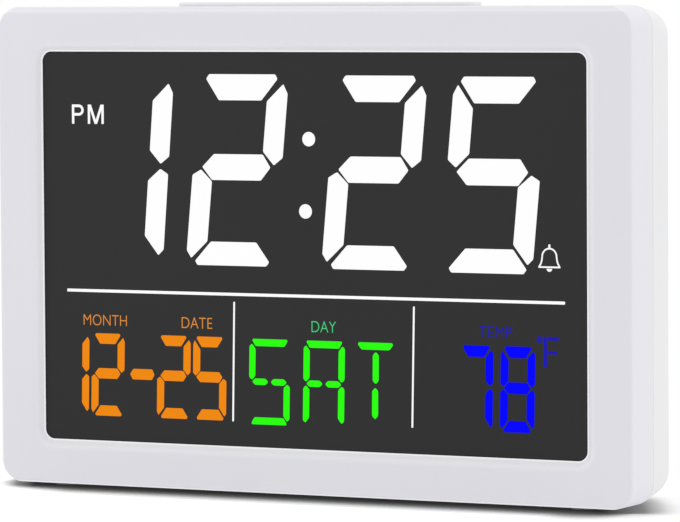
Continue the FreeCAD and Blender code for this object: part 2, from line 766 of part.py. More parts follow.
trunnionLong = recessWall * 0.8
cut(cover, "TrunnionHoles", "X", [ring(trunnionY, trunnionZ, trunnionRadius + trunnionPlay)],
    -recessX - trunnionLong - stackGap, recessX + trunnionLong + stackGap)
for side, sign in (("Left", -1), ("Right", 1)):
    mid = sign * keyholeX
    cut(cover, "KeyholeBig" + side, "Y", [ring(mid, keyholeZ, keyholeBig)], innerBackY, backY)
    cut(cover, "KeyholeSlot" + side, "Y", [round4(mid - keyholeSlot, mid + keyholeSlot, keyholeZ,
        keyholeZ + keyholeRise + keyholeSlot, keyholeSlot * 0.999)], innerBackY, backY)
vent = cut(cover, "Vent", "Y", [round4(ventX - ventLong / 2, ventX + ventLong / 2, ventZ, ventZ + ventWide,
    ventWide * 0.499)], innerBackY, backY)
repeat(cover, "Vents", [vent], vent.Profile[0], "V_Axis", ventPitch * 4, 5)
cut(cover, "JackOpening", "Y", [ring(jackX, jackZ, jackHole)], innerBackY, backY)
cut(cover, "BarSlotRear", "Z", [round4(-slotX, slotX, -slotY - barCorner, slotY, barCorner + slidePlay)],
    inZ - wall, halfH + barProud)
for side, sign in (("Left", -1), ("Right", 1)):
    cut(cover, "FootPocketRear" + side, "Z", [ring(sign * footSpread, footRear, footRadius + screwPlay)],
        -halfH - footDrop, -halfH - footDrop + footHeight)
finish(cover, "rear_cover")

# ---- snooze bar with the plungers it presses ----
barTop = halfH + barProud
bar = newBody("SnoozeBar")
barFlange = rect(-barHalf - flangeLip, barHalf + flangeLip, -barWide / 2 - flangeLip, barWide / 2 + flangeLip)
pad(bar, "BarBlock", "Z", [round4(-barHalf, barHalf, -barWide / 2, barWide / 2, barCorner)],
    barFlangeZ - flangeThick, barTop)
soften(bar, "Fillet", "BarRound", barRound, lambda p: near(p.z, barTop))
pad(bar, "BarFlange", "Z", [barFlange], barFlangeZ - flangeThick, barFlangeZ)
stemSpots = [(-stemX, zero), (stemX, zero)]
pad(bar, "BarStems", "Z", [ring(x, y, plungerRadius) for x, y in stemSpots], plungeZ,
    barFlangeZ - flangeThick)
finish(bar, "snooze_bar")


def plungerBody(name, axis, spot, top):
    body = newBody(name)
    pad(body, name + "Rod", axis, [ring(spot[0], spot[1], plungerRadius)], top - plungerProud - plungerDeep,
        top)
    return body


barPlungers = [plungerBody("BarPlunger" + side, "Z", spot, plungeZ)
               for side, spot in zip(("Left", "Right"), stemSpots)]
group("snooze_plungers", barPlungers)

# ---- five rear buttons, each with its plunger ----
for name, x in zip(buttonNames, buttonSpots):
    word = name.title().replace("_", "")
    key = newBody(word)
    wide = buttonWide / 2
    tall = buttonTall / 2
    pad(key, word + "Cap", "Y", [round4(x - wide, x + wide, buttonRow - tall, buttonRow + tall,
        buttonCorner)],
        flangeY - keyFlangeThick, keyY)
    soften(key, "Fillet", word + "Round", barRound, lambda p: near(p.y, keyY))
    pad(key, word + "Flange", "Y", [rect(x - wide - keyFlange, x + wide + keyFlange,
        buttonRow - tall - keyFlange,
        buttonRow + tall + keyFlange)], flangeY - keyFlangeThick, flangeY)
    pad(key, word + "Stem", "Y", [ring(x, buttonRow, plungerRadius)], plungeY, flangeY - keyFlangeThick)
    finish(key, name)
    finish(plungerBody(word + "Plunger", "Y", (x, buttonRow), plungeY), name.replace("button", "plunger"))

# ---- battery door, turning on two pins at its lower corners ----
door = newBody("BatteryDoor")
doorX0 = bayLeft - doorLap + doorPlay
doorX1 = bayRight + doorLap - doorPlay
pad(door, "DoorPlate", "Y", [round4(doorX0, doorX1, barrelZ, doorHigh - doorPlay, trayWall)], doorY, backY)
pad(door, "DoorBarrel", "X", [ring(barrelY, barrelZ, doorBarrel)], doorX0, doorX1)
pad(door, "DoorFoot", "Y", [rect(doorX0, doorX1, barrelZ, barrelZ + doorFoot)], doorY, backY)
pad(door, "DoorPins", "X", [ring(barrelY, barrelZ, doorPin)], doorX0 - doorPinLong, doorX1 + doorPinLong)
gripMid = (bayLeft + bayRight) / 2
grip = cut(door, "DoorGrip", "Y", [round4(gripMid - gripLong / 2, gripMid + gripLong / 2,
    doorHigh - 7 * gripWide,
    doorHigh - 6 * gripWide, gripWide * 0.499)], backY - gripDeep, backY)
repeat(door, "DoorGrips", [grip], grip.Profile[0], "V_Axis", gripWide * 4, 3)
finish(door, "battery_door")

# ---- fold-out leg, turning on two stub pins ----
leg = newBody("StandLeg")
legBackY = backY - legSunk
shoulderZ = legHinge - legShoulder
pad(leg, "LegPlate", "Y", [outline([(-legHalfLow, -legLow), (legHalfLow, -legLow), (legHalfTop, shoulderZ),
    (legHalfTop, legHinge), (-legHalfTop, legHinge), (-legHalfTop, shoulderZ)])], legBackY - legThick,
    legBackY)
soften(leg, "Fillet", "LegCorners", legCorner, lambda p: near(p.z, -legLow) and near(abs(p.x), legHalfLow))
pad(leg, "LegBarrel", "X", [ring(trunnionY, trunnionZ, barrelRadius)], -legHalfTop, legHalfTop)
pad(leg, "LegHeel", "Y", [rect(heelInset - legHalfTop, legHalfTop - heelInset, legHinge,
    legHinge + heelHigh)],
    trunnionY - heelThick / 2, trunnionY + heelThick / 2)
pad(leg, "LegPins", "X", [ring(trunnionY, trunnionZ, trunnionRadius)],
    -recessX - trunnionLong, recessX + trunnionLong)
pocketWide = (legHalfLow * 2 - pocketRib * 4) / 3
pocketStep = pocketWide + pocketRib
legPocket = cut(leg, "LegPocket", "Y", [round4(-pocketStep - pocketWide / 2, -pocketStep + pocketWide / 2,
    pocketEnd - legLow, pocketHigh, pocketWide * 0.3)], legBackY - legThick, legBackY - legThick / 2)
repeat(leg, "LegPockets", [legPocket], legPocket.Profile[0], "H_Axis", pocketStep * 2, 3)
gripLow = gripRise - legLow
legGrip = cut(leg, "LegGrip", "Y", [round4(-gripLong / 2, gripLong / 2, gripLow, gripLow + gripWide,
    gripWide * 0.499)], legBackY - gripDeep, legBackY)
repeat(leg, "LegGrips", [legGrip], legGrip.Profile[0], "V_Axis", gripWide * 4, 3)
finish(leg, "stand_leg")

# ---- display: one sheet behind the other ----
gasket = newBody("DustGasket")
gasketX = glassX - stackGap
gasketZ = glassTop - stackGap
pad(gasket, "GasketRing", "Y", [rect(-gasketX, gasketX, -gasketZ, gasketZ),
    round4(-viewX - gasketInset, viewX + gasketInset, -viewZ - gasketInset, viewZ + gasketInset, viewCorner)],
    gasketY, polariserY)
finish(gasket, "dust_gasket")
filmX = glassX - stackGap
sheetPiece("front_polariser", [rect(-filmX, filmX, -gasketZ, gasketZ)], polariserY, polariserThick)
sheetPiece("lcd_front_glass", [rect(-glassX, glassX, glassLow, glassTop)], frontGlassY, glassThick)
sheetPiece("lcd_rear_glass", [rect(-glassX, glassX, rearGlassLow, glassTop)], rearGlassY, glassThick)
sheetPiece("rear_polariser", [rect(-filmX, filmX, rearGlassLow, gasketZ)], rearPolariserY, polariserThick)
sheetPiece("colour_film", [rect(-filmX, filmX, rearGlassLow, gasketZ)], filmY, filmThick)
sheetPiece("diffuser_sheet", [rect(-filmX, filmX, rearGlassLow, gasketZ)], diffuserY, diffuserThick)
guideRight = glassX - ledWide - ledBoardThick
sheetPiece("light_guide", [rect(-glassX, guideRight, rearGlassLow, gasketZ)], guideY, guideThick)
sheetPiece("reflector_sheet", [rect(-glassX, guideRight, rearGlassLow, gasketZ)], reflectorY, reflectorThick)
ledBoardX = guideRight + ledWide
group("backlight_board", [box("LedStrip", ledBoardX, ledBoardX + ledBoardThick, guideY, trayFloorY,
    rearGlassLow, gasketZ)])
ledCount = 9
ledPitch = viewZ * 2 / ledCount
group("backlight_leds", [box("Led%d" % (step + 1), guideRight, ledBoardX, guideY + stackGap,
    reflectorY - stackGap,
    ledPitch * (step - 4) - ledTall / 2, ledPitch * (step - 4) + ledTall / 2) for step in range(ledCount)])
zebraTop = rearGlassLow - stackGap - trayWall - stackGap
zebraBase = zebraTop - zebraThick
sheetPiece("zebra_strip", [rect(-zebraHalf, zebraHalf, zebraBase, zebraTop)], rearGlassY, boardY - rearGlassY)

tray = newBody("DisplayTray")
trayFrontY = innerFrontY + stackGap / 2
pad(tray, "TrayBlock", "Y", [rect(-trayX, trayX, trayLow, trayTop)], trayFrontY, trayBackY)
cut(tray, "TrayHollow", "Y", [rect(-rebateX, rebateX, glassLow - stackGap, glassTop + stackGap)],
    trayFrontY, trayFloorY)
pad(tray, "TrayDivider", "Y", [rect(-trayX + trayWall / 2, trayX - trayWall / 2,
    rearGlassLow - stackGap - trayWall,
    rearGlassLow - stackGap)], rearGlassY, trayFloorY + trayFloor / 2)
cut(tray, "ZebraSlot", "Y", [rect(-zebraHalf - stackGap, zebraHalf + stackGap, zebraBase - stackGap,
    zebraTop + stackGap / 2)], trayFloorY, trayBackY)
earHalf = trayBossRadius + stackGap
for step, (x, z) in enumerate(traySpots):
    inner = -trayBossRadius - trayWall / 2 if number(z) > 0 else -trayBossRadius + stackGap
    outer = trayBossRadius - stackGap if number(z) > 0 else trayBossRadius + trayWall / 2
    pad(tray, "TrayEar%d" % (step + 1), "Y", [rect(x - earHalf, x + earHalf, z + inner, z + outer)], earY,
        trayBackY)
cut(tray, "EarHoles", "Y", [ring(x, z, smallScrewRadius + stackGap) for x, z in traySpots], earY, trayBackY)
boardRows = (-boardTop - boardScrewTop, boardScrewFoot - boardLow)
boardSpots = [(sx * boardScrewX, z) for sx in (-1, 1) for z in boardRows]
pad(tray, "BoardPosts", "Y", [ring(x, z, postRadius) for x, z in boardSpots], trayBackY, boardY)
cut(tray, "BoardPilots", "Y", [ring(x, z, smallScrewRadius + screwPlay) for x, z in boardSpots],
    trayFloorY + trayFloor / 3, boardY)
finish(tray, "display_tray")

# ---- main board and what stands on it ----
def board(label, axis, draws, start, holes):
    body = newBody(label.title().replace("_", ""))
    word = body.Name
    pad(body, word + "Blank", axis, draws, start, start + boardThick)
    cut(body, word + "Holes", axis, [ring(x, z, smallScrewRadius + stackGap) for x, z in holes],
        start, start + boardThick)
    return finish(body, label)


board("main_board", "Y", [rect(-boardHalf, boardHalf, -boardLow, -boardTop)], boardY, boardSpots)
chip = newBody("ControllerChip")
lead = pad(chip, "ChipLead", "Y", [rect(chipX - chipHalf + leadWide, chipX - chipHalf + leadWide * 2,
    chipZ - leadLong, chipZ + leadLong)], boardBackY, boardBackY + leadThick)
repeat(chip, "ChipLeads", [lead], lead.Profile[0], "H_Axis", chipHalf * 2 - leadWide * 3, 14)
pad(chip, "ChipCase", "Y", [rect(chipX - chipHalf, chipX + chipHalf, chipZ - chipTall, chipZ + chipTall)],
    boardBackY, boardBackY + chipHigh)
finish(chip, "controller_chip")

crystal = newBody("CrystalCan")
pad(crystal, "CanShell", "X", [ring(boardBackY + canRadius, -boardTop - canDrop, canRadius)], canX,
    canX + canLong)
soften(crystal, "Fillet", "CanRound", canRadius / 4, lambda p: near(p.x, canX + canLong))
finish(crystal, "crystal_can")

capMaster = newBody("CapacitorShape")
turn(capMaster, "CapacitorTurn", [(zero, zero), (capRadius, zero), (capRadius, capHigh * 0.16),
    (capRadius * 0.92, capHigh * 0.22), (capRadius, capHigh * 0.28), (capRadius, capHigh * 0.95),
    (capRadius * 0.92, capHigh), (zero, capHigh)])
copies("filter_capacitors", capMaster,
    [(capInset - halfW, boardBackY, chipZ - capStep * step) for step in range(3)])

regulatorX = regulatorInset - halfW
regulatorZ = regulatorRise - halfH
regulatorTop = regulatorZ + regulatorTall
group("voltage_regulator", [
    box("RegulatorCase", regulatorX, regulatorX + regulatorWide, boardBackY, boardBackY + regulatorHigh,
        regulatorZ, regulatorTop),
    box("RegulatorTab", regulatorX + tabInset, regulatorX + regulatorWide - tabInset, boardBackY,
        boardBackY + tabThick, regulatorTop, regulatorTop + tabTall)])
chipParts = []
for step in range(9):
    partX = chipPartX + chipPitch * (step % 3)
    partZ = chipPartRise - halfH - chipStep * (step // 3)
    chipParts.append(box("ChipPart%d" % (step + 1), partX, partX + chipPartLong, boardBackY,
        boardBackY + chipPartHigh, partZ, partZ + chipPartTall))
group("chip_parts", chipParts)

buzzer = newBody("AlarmBuzzer")
buzzerFloor = buzzerHigh * 0.6
turn(buzzer, "BuzzerTurn", [(zero, zero), (buzzerRadius, zero), (buzzerRadius, buzzerHigh * 0.94),
    (buzzerRadius * 0.93, buzzerHigh), (buzzerHole, buzzerHigh), (buzzerHole, buzzerFloor),
    (zero, buzzerFloor)])
buzzerZ = ventZ + ventPitch * 2 + ventWide / 2
copies("alarm_buzzer", buzzer, [(ventX, boardBackY, buzzerZ)])

bead = doc.addObject("Part::Sphere", "SensorBead")
bind(bead, "Radius", beadRadius)
for axis, value in (("x", sensorX), ("y", boardBackY + beadHigh), ("z", sensorZ)):
    bind(bead, "Placement.Base." + axis, value)
sensorPieces = [bead]
for side, sign in (("Left", -1), ("Right", 1)):
    wireX = sensorX + sign * sensorPitch / 2 - sensorWire / 2
    sensorPieces.append(box("SensorLead" + side, wireX, wireX + sensorWire, boardBackY, boardBackY + beadHigh,
        sensorZ - sensorWire / 2, sensorZ + sensorWire / 2))
sensor = doc.addObject("Part::MultiFuse", "TempSensor")
sensor.Shapes = sensorPieces
finish(sensor, "temp_sensor")

jack = newBody("PowerJack")
jackEndY = innerBackY - stackGap
pad(jack, "JackBlock", "Y", [rect(jackX - jackHalf, jackX + jackHalf, jackZ - jackHalf, jackZ + jackHalf)],
    boardBackY, jackEndY)
cut(jack, "JackBore", "Y", [ring(jackX, jackZ, jackBore)], jackEndY - jackDeep, jackEndY)
finish(jack, "power_jack")
pin = newBody("JackPin")
pad(pin, "PinRod", "Y", [ring(jackX, jackZ, jackPin)], jackEndY - jackDeep, jackEndY - trayWall)
soften(pin, "Fillet", "PinRound", jackPin / 2, lambda p: near(p.y, jackEndY - trayWall))
finish(pin, "jack_pin")

# ---- control boards, switches and flat cables ----
buttonBoardHalf = postX + buttonBoardLap
board("button_board", "Y", [rect(-buttonBoardHalf, buttonBoardHalf, buttonRow - buttonBoardTall,
    buttonRow + buttonBoardTall)], switchY - boardThick, posts)
snoozeBoardHalf = stemX + shelfAside + snoozeBoardLap
board("snooze_board", "Z", [rect(-snoozeBoardHalf, snoozeBoardHalf, -snoozeBoardFront, snoozeBoardEnd)],
    shelfZ, shelfSpots)
switchMaster = newBody("SwitchShape")
sideHalf = switchSide / 2
pad(switchMaster, "SwitchCase", "Y", [rect(-sideHalf, sideHalf, -sideHalf, sideHalf)], zero, switchHigh)
cut(switchMaster, "SwitchBore", "Y", [ring(zero, zero, plungerRadius + plungerPlay)],
    switchHigh - switchBore, switchHigh)
copies("button_switches", switchMaster, [(x, switchY, buttonRow) for x in buttonSpots])
turned("snooze_switches", switchMaster, [((x, zero, switchZ), upright) for x, y in stemSpots])
cable = newBody("ControlCable")
frontOfBoard = switchY - boardThick
cableTop = buttonRow - cableEnd
bendTop = buttonRow - cableBend
bendLow = screwPlay * 20 - boardTop
cableLow = -boardTop - cableEnd * 2
pad(cable, "CableStrip", "X", [outline([(frontOfBoard - cableThick, cableTop), (frontOfBoard, cableTop),
    (frontOfBoard, bendTop), (boardBackY + cableThick, bendLow), (boardBackY + cableThick, cableLow),
    (boardBackY, cableLow), (boardBackY, bendLow), (frontOfBoard - cableThick, bendTop)])],
    cableX, cableX + cableWide)
finish(cable, "control_cable")
tail = newBody("SnoozeCable")
tailLow = buttonRow + cableEnd - trayWall
pad(tail, "TailStrip", "X", [outline([(frontOfBoard - cableThick, tailLow), (frontOfBoard, tailLow),
    (frontOfBoard, shelfZ - cableThick), (frontOfBoard + cableEnd, shelfZ - cableThick),
    (frontOfBoard + cableEnd, shelfZ), (frontOfBoard - cableThick, shelfZ)])], tailX, tailX + tailWide)
finish(tail, "snooze_cable")

# ---- power: cells, contacts, springs and leads ----
cellMaster = newBody("CellShape")
turn(cellMaster, "CellTurn", [(zero, zero), (nubRadius, zero), (nubRadius, nubLong),
    (cellRadius - cellEdge, nubLong),
    (cellRadius, nubLong + cellEdge), (cellRadius, cellLong - cellEdge), (cellRadius - cellEdge, cellLong),
    (zero, cellLong)])
cellY = bayInY + stackGap / 2 + cellRadius
leftEnd = bayLeft + contactThick
rightEnd = bayRight - contactThick
cellRows = [(leftEnd, 1, bayMid + cellPitch), (rightEnd, -1, bayMid), (leftEnd, 1, bayMid - cellPitch)]
turned("battery_cells", cellMaster,
       [((x, cellY, z), alongX if way > 0 else againstX) for x, way, z in cellRows])
plates = []
for row, (x, way, z) in enumerate(cellRows):
    for side, edge in (("Left", bayLeft), ("Right", rightEnd)):
        plates.append(box("Contact%s%d" % (side, row + 1), edge, edge + contactThick,
            cellY - contactHalf, cellY + contactHalf, z - contactHalf, z + contactHalf))
group("cell_contacts", plates)
springMaster = newBody("SpringShape")
springLong = bayRight - bayLeft - contactThick * 2 - cellLong
foldY = springLong * 0.55                           # outer fold of the zigzag leaf
lapX = springThick * 3
innerX = springFold - lapX
pad(springMaster, "SpringLeaf", "Z", [outline([(-springFold, zero), (springFold, zero),
    (springFold, springThick),
    (-innerX, foldY), (innerX, springLong - springThick), (innerX, springLong), (-springFold, foldY),
    (-springFold, foldY - springThick), (innerX, springThick), (-springFold, springThick)])],
    -springWide / 2, springWide / 2)
springSpots = [((rightEnd, cellY, z), againstX) if way > 0 else ((leftEnd, cellY, z), alongX)
               for x, way, z in cellRows]
turned("cell_springs", springMaster, springSpots)


def leadWire(side, z):
    bend = bayLeft - bayWall - wireRadius * 3
    run = doc.addObject("Part::Cylinder", "LeadRun" + side)
    run.Placement = FreeCAD.Placement(FreeCAD.Vector(0, 0, 0), FreeCAD.Rotation(FreeCAD.Vector(0, 1, 0), 90))
    drop = doc.addObject("Part::Cylinder", "LeadDrop" + side)
    drop.Placement = FreeCAD.Placement(FreeCAD.Vector(0, 0, 0),
        FreeCAD.Rotation(FreeCAD.Vector(1, 0, 0), -90))
    knee = doc.addObject("Part::Sphere", "LeadKnee" + side)
    for part, start in ((run, (bend, wireY, z)), (drop, (bend, boardBackY, z)), (knee, (bend, wireY, z))):
        bind(part, "Radius", wireRadius)
        for axis, value in zip("xyz", start):
            bind(part, "Placement.Base." + axis, value)
    bind(run, "Height", bayLeft - bend)
    bind(drop, "Height", wireY - boardBackY)
    joined = doc.addObject("Part::MultiFuse", "Lead" + side)
    joined.Shapes = [run, drop, knee]
    return joined


group("battery_leads", [leadWire(side, z) for side, z in zip(("Low", "High"), wireSpots)])

# ---- screws and feet ----
def screwBody(name, shank, head, high, long):
    body = newBody(name)
    turn(body, name + "Turn", [(zero, -long), (shank * 0.4, -long), (shank, -long + shank), (shank, zero),
        (head, zero),
        (head, high * 0.6), (head * 0.7, high), (zero, high)])
    arm = head * 0.55                               # cross for the driver
    half = head * 0.13
    for way, wide, tall in (("Across", arm, half), ("Upright", half, arm)):
        cut(body, name + way, "Y", [rect(-wide, wide, -tall, tall)], high * 0.45, high)
    return body


caseScrew = screwBody("CaseScrewShape", caseScrewRadius, caseHeadRadius, caseHeadHigh, caseScrewLong)
copies("case_screws", caseScrew, [(x, sinkSeat, z) for x, z in caseSpots])
trayScrew = screwBody("TrayScrewShape", smallScrewRadius, smallHeadRadius, smallHeadHigh, trayScrewLong)
copies("tray_screws", trayScrew, [(x, trayBackY, z) for x, z in traySpots])
boardScrew = screwBody("BoardScrewShape", smallScrewRadius, smallHeadRadius, smallHeadHigh, boardScrewLong)
copies("board_screws", boardScrew, [(x, boardBackY, z) for x, z in boardSpots])
turned("control_screws", boardScrew,
    [((x, frontOfBoard, z), backward) for x, z in posts]
    + [((x, y, switchZ), upright) for x, y in shelfSpots])
footMaster = newBody("FootShape")
pad(footMaster, "FootDisc", "Z", [ring(zero, zero, footRadius)], zero, footHeight)
soften(footMaster, "Fillet", "FootRound", footRadius * 0.1, lambda p: near(p.z, 0))
copies("rubber_feet", footMaster,
    [(sx * footSpread, y, -halfH - footDrop) for sx in (-1, 1) for y in (-footFront, footRear)])

doc.recompute()
for thing in nodes:
    print(thing.Label, thing.Shape.isValid(), round(thing.Shape.Volume), len(thing.Shape.Solids),
        thing.Shape.BoundBox)
for thing in doc.Objects:
    if "Invalid" in thing.State or "Error" in thing.State:
        raise RuntimeError(thing.Label + " didn't build")
for thing in nodes:
    if thing.Shape.isNull() or not thing.Shape.isValid():
        raise RuntimeError(thing.Label + " has no valid shape")
for thing in nodes:
    thing.Shape.exportStep("parts/" + thing.Label + ".step")
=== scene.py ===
import math
import bmesh
import bpy
from mathutils import Matrix, Vector


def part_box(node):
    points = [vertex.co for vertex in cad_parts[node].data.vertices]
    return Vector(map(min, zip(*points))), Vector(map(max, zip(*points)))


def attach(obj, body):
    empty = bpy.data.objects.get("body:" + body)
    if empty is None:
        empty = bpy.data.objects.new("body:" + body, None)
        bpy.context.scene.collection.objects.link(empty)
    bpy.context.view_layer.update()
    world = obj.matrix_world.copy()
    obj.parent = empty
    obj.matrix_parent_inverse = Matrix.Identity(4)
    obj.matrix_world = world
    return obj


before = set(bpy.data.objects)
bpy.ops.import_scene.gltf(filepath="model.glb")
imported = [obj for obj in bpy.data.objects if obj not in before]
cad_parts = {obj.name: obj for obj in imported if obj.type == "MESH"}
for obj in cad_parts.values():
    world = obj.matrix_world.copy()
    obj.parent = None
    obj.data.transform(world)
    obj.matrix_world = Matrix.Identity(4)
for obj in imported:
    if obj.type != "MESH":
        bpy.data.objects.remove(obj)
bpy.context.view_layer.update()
mm = 0.001
scene = bpy.context.scene

caseLow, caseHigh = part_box("front_frame")
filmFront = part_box("front_polariser")[0].y
midX = (caseLow.x + caseHigh.x) / 2
midZ = (caseLow.z + caseHigh.z) / 2                 # height of the case centre
print("frame loaded, case", round((caseHigh.x - caseLow.x) / mm, 1), "mm wide")


class Wire:                                         # a node's output that takes part in sums
    def __init__(self, graph, socket):
        self.graph = graph
        self.socket = socket

    def sum(self, operation, first, second):
        return self.graph.other(operation, first, second)

    def __add__(self, other):
        return self.sum("ADD", self, other)

    def __radd__(self, other):
        return self.sum("ADD", other, self)

    def __sub__(self, other):
        return self.sum("SUBTRACT", self, other)

    def __rsub__(self, other):
        return self.sum("SUBTRACT", other, self)

    def __mul__(self, other):
        return self.sum("MULTIPLY", self, other)

    def __rmul__(self, other):
        return self.sum("MULTIPLY", other, self)

    def __truediv__(self, other):
        return self.sum("DIVIDE", self, other)

    def __gt__(self, other):
        return self.sum("GREATER_THAN", self, other)

    def __lt__(self, other):
        return self.sum("LESS_THAN", self, other)

    def swing(self, reach):                         # a noise about its middle, this far each way
        return reach * (self - 0.5)


class Graph:                                        # the nodes of one material or world
    def __init__(self, tree):
        self.tree = tree
        tree.nodes.clear()

    def add(self, kind, settings=None, inputs=None, output=0):
        node = self.tree.nodes.new(kind)
        for name, value in (settings or {}).items():
            if name == "stops":
                self.fillRamp(node, value)
            else:
                setattr(node, name, value)
        for name, value in (inputs or {}).items():
            self.join(value, node.inputs[name])
        return Wire(self, node.outputs[output]) if node.outputs else node

    def join(self, value, socket):
        if isinstance(value, Wire):
            self.tree.links.new(value.socket, socket)
        elif isinstance(value, (int, float)):
            socket.default_value = value
        elif len(value) == 3 and socket.type == "RGBA":
            socket.default_value = list(value) + [1.0]
        else:
            socket.default_value = value

    def fillRamp(self, node, stops):
        marks = node.color_ramp.elements
        while len(marks) < len(stops):
            marks.new(0.5)
        for mark, (place, tone) in zip(marks, stops):
            mark.position = place
            mark.color = list(tone) + [1.0]

    def mix(self, share, first, second):
        return self.add("ShaderNodeMix", {"data_type": "RGBA"}, {0: share, 6: first, 7: second}, 2)

    def place(self):
        return self.add("ShaderNodeTexCoord", output="Object")

    def axis(self, name):                           # one coordinate in metres
        return self.add("ShaderNodeSeparateXYZ", inputs={0: self.place()}, output=name)

    def noise(self, scale, detail, stretch=(1, 1, 1)):
        spot = self.add("ShaderNodeMapping", inputs={"Vector": self.place(), "Scale": stretch})
        return self.add("ShaderNodeTexNoise", inputs={"Vector": spot, "Scale": scale, "Detail": detail})

    def other(self, operation, first, second=0.0):  # any sum, also one that has no sign of its own
        return self.add("ShaderNodeMath", {"operation": operation}, {0: first, 1: second})

    def ramp(self, value, stops):
        return self.add("ShaderNodeValToRGB", {"stops": stops}, {0: value})

    def greyRamp(self, value, steps):
        return self.ramp(value, [(place, (level, level, level)) for place, level in steps])

    def bump(self, height, strength, distance):
        sizes = {"Height": height, "Strength": strength, "Distance": distance}
        return self.add("ShaderNodeBump", inputs=sizes)


def colour(*levels):                                # screen colour, 0 to 255, as light
    shares = [level / 255 for level in levels]
    return tuple(s / 12.92 if s <= 0.04045 else ((s + 0.055) / 1.055) ** 2.4 for s in shares)


def scaled(tone, share, lift=0.0):                  # the same colour, darker or lighter
    return tuple(share * part + lift for part in colour(*tone))


def newFinish(name, steady=None):
    material = bpy.data.materials.new(name)
    material.use_nodes = True
    graph = Graph(material.node_tree)
    surface = graph.add("ShaderNodeBsdfPrincipled", inputs=steady or {})
    graph.add("ShaderNodeOutputMaterial", inputs={"Surface": surface})
    return material, graph, surface.socket.node.inputs


def dress(finish, *nodes):                          # gives CAD pieces their finish
    for node in nodes:
        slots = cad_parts[node].data.materials
        slots.clear()
        slots.append(finish)


shellLook = {"tone": (230, 229, 235), "shade": (225, 224, 230), "rough": 0.36, "grain": 0.05}
coverLook = {"tone": (234, 234, 235), "shade": (229, 229, 231), "rough": 0.38, "grain": 0.06}
keyLook = {"tone": (232, 232, 236), "shade": (227, 227, 231), "rough": 0.30, "grain": 0.03}
barLook = {"tone": (243, 243, 245), "shade": (240, 240, 242), "rough": 0.34, "grain": 0.03}
trayLook = {"tone": (238, 238, 236), "shade": (230, 230, 228), "rough": 0.5, "grain": 0.08}

# painted highlight on the window's flat rim and painted light on its bevel, in a paler tone
rimLook = {"sideBorder": 13.3 * mm, "topBorder": 12.15 * mm, "corner": 2.7 * mm, "reach": 3.0 * mm,
           "tone": (251, 251, 253),
           "steps": ((0.0, 1.0), (0.11, 1.0), (0.13, 0.30), (0.60, 0.26), (0.95, 0.0))}
paintedHighlightDepth = 0.85 * mm                               # how far back from the front the painted edge highlights reach
# painted highlights along the top and bottom edges of the front, in paler tones
paintedTopHighlight = {"from": caseHigh.z, "over": -2.2 * mm, "tone": (242, 242, 246),
             "steps": ((0.10, 0.0), (0.23, 0.25), (0.34, 0.6), (0.46, 0.85), (0.57, 0.7), (0.68, 0.4),
                       (0.82, 0.15), (0.95, 0.0))}
paintedBottomHighlight = {"from": caseLow.z, "over": 0.55 * mm, "tone": (250, 250, 252),
              "steps": ((0.45, 1.0), (1.0, 0.0))}

plasticLook = {"gloss": 0.42, "cloud": (18, 3), "flow": (7, 2, (1, 4, 1)), "grain": (5200, 2),
               "fleck": (900, 1), "fleckFrom": 0.735, "fleckShare": 0.05, "fleckTone": (196, 194, 192),
               "cloudRough": 0.07, "flowRough": 0.05, "grainRough": 0.04, "cloudRise": 0.3,
               "deep": 0.04 * mm}


def beyond(graph, name, middle, half):              # how far a point lies past half the size, or 0
    return graph.other("MAXIMUM", graph.other("ABSOLUTE", graph.axis(name) - middle) - half)


def rimShare(graph, look):                          # painted highlight: 1 on the window's flat rim, fading over the bevel, which it also paints lighter
    halfX = (caseHigh.x - caseLow.x) / 2 - look["sideBorder"] - look["corner"]
    halfZ = (caseHigh.z - caseLow.z) / 2 - look["topBorder"] - look["corner"]
    outX = beyond(graph, "X", midX, halfX)
    outZ = beyond(graph, "Z", midZ, halfZ)
    away = graph.other("SQRT", outX * outX + outZ * outZ) - look["corner"]
    return graph.greyRamp(away / look["reach"], look["steps"])


def mouldedPlastic(name, look):
    finish, graph, shader = newFinish(name, {"Specular IOR Level": plasticLook["gloss"]})
    cloud = graph.noise(*plasticLook["cloud"])
    flow = graph.noise(*plasticLook["flow"])
    grain = graph.noise(*plasticLook["grain"])
    fleck = graph.noise(*plasticLook["fleck"]) > plasticLook["fleckFrom"]
    body = graph.mix(cloud, colour(*look["shade"]), colour(*look["tone"]))
    # painted highlights: paler bands on the front's top and bottom edges
    for edge in look.get("edges", ()):
        share = graph.greyRamp((graph.axis("Z") - edge["from"]) / edge["over"], edge["steps"])
        onFront = graph.axis("Y") < caseLow.y + paintedHighlightDepth
        body = graph.mix(share * onFront, body, colour(*edge["tone"]))
    # painted highlight on the window's rim, with lighter paint over its bevel
    if "rim" in look:
        body = graph.mix(rimShare(graph, look["rim"]), body, colour(*look["rim"]["tone"]))
    body = graph.mix(fleck * plasticLook["fleckShare"], body, colour(*plasticLook["fleckTone"]))
    graph.join(body, shader["Base Color"])
    rough = look["rough"] + cloud.swing(plasticLook["cloudRough"]) + flow.swing(plasticLook["flowRough"])
    graph.join(rough + grain.swing(plasticLook["grainRough"]), shader["Roughness"])
    height = grain + plasticLook["cloudRise"] * cloud
    graph.join(graph.bump(height, look["grain"], plasticLook["deep"]), shader["Normal"])
    return finish


filmLook = {"gloss": 0.22, "glow": (9, 2), "mesh": (4200, 1), "tone": (34, 34, 35), "shade": (40, 40, 41),
            "rough": 0.44, "meshRough": 0.05, "glowRough": 0.04, "bump": 0.04, "deep": 0.02 * mm}


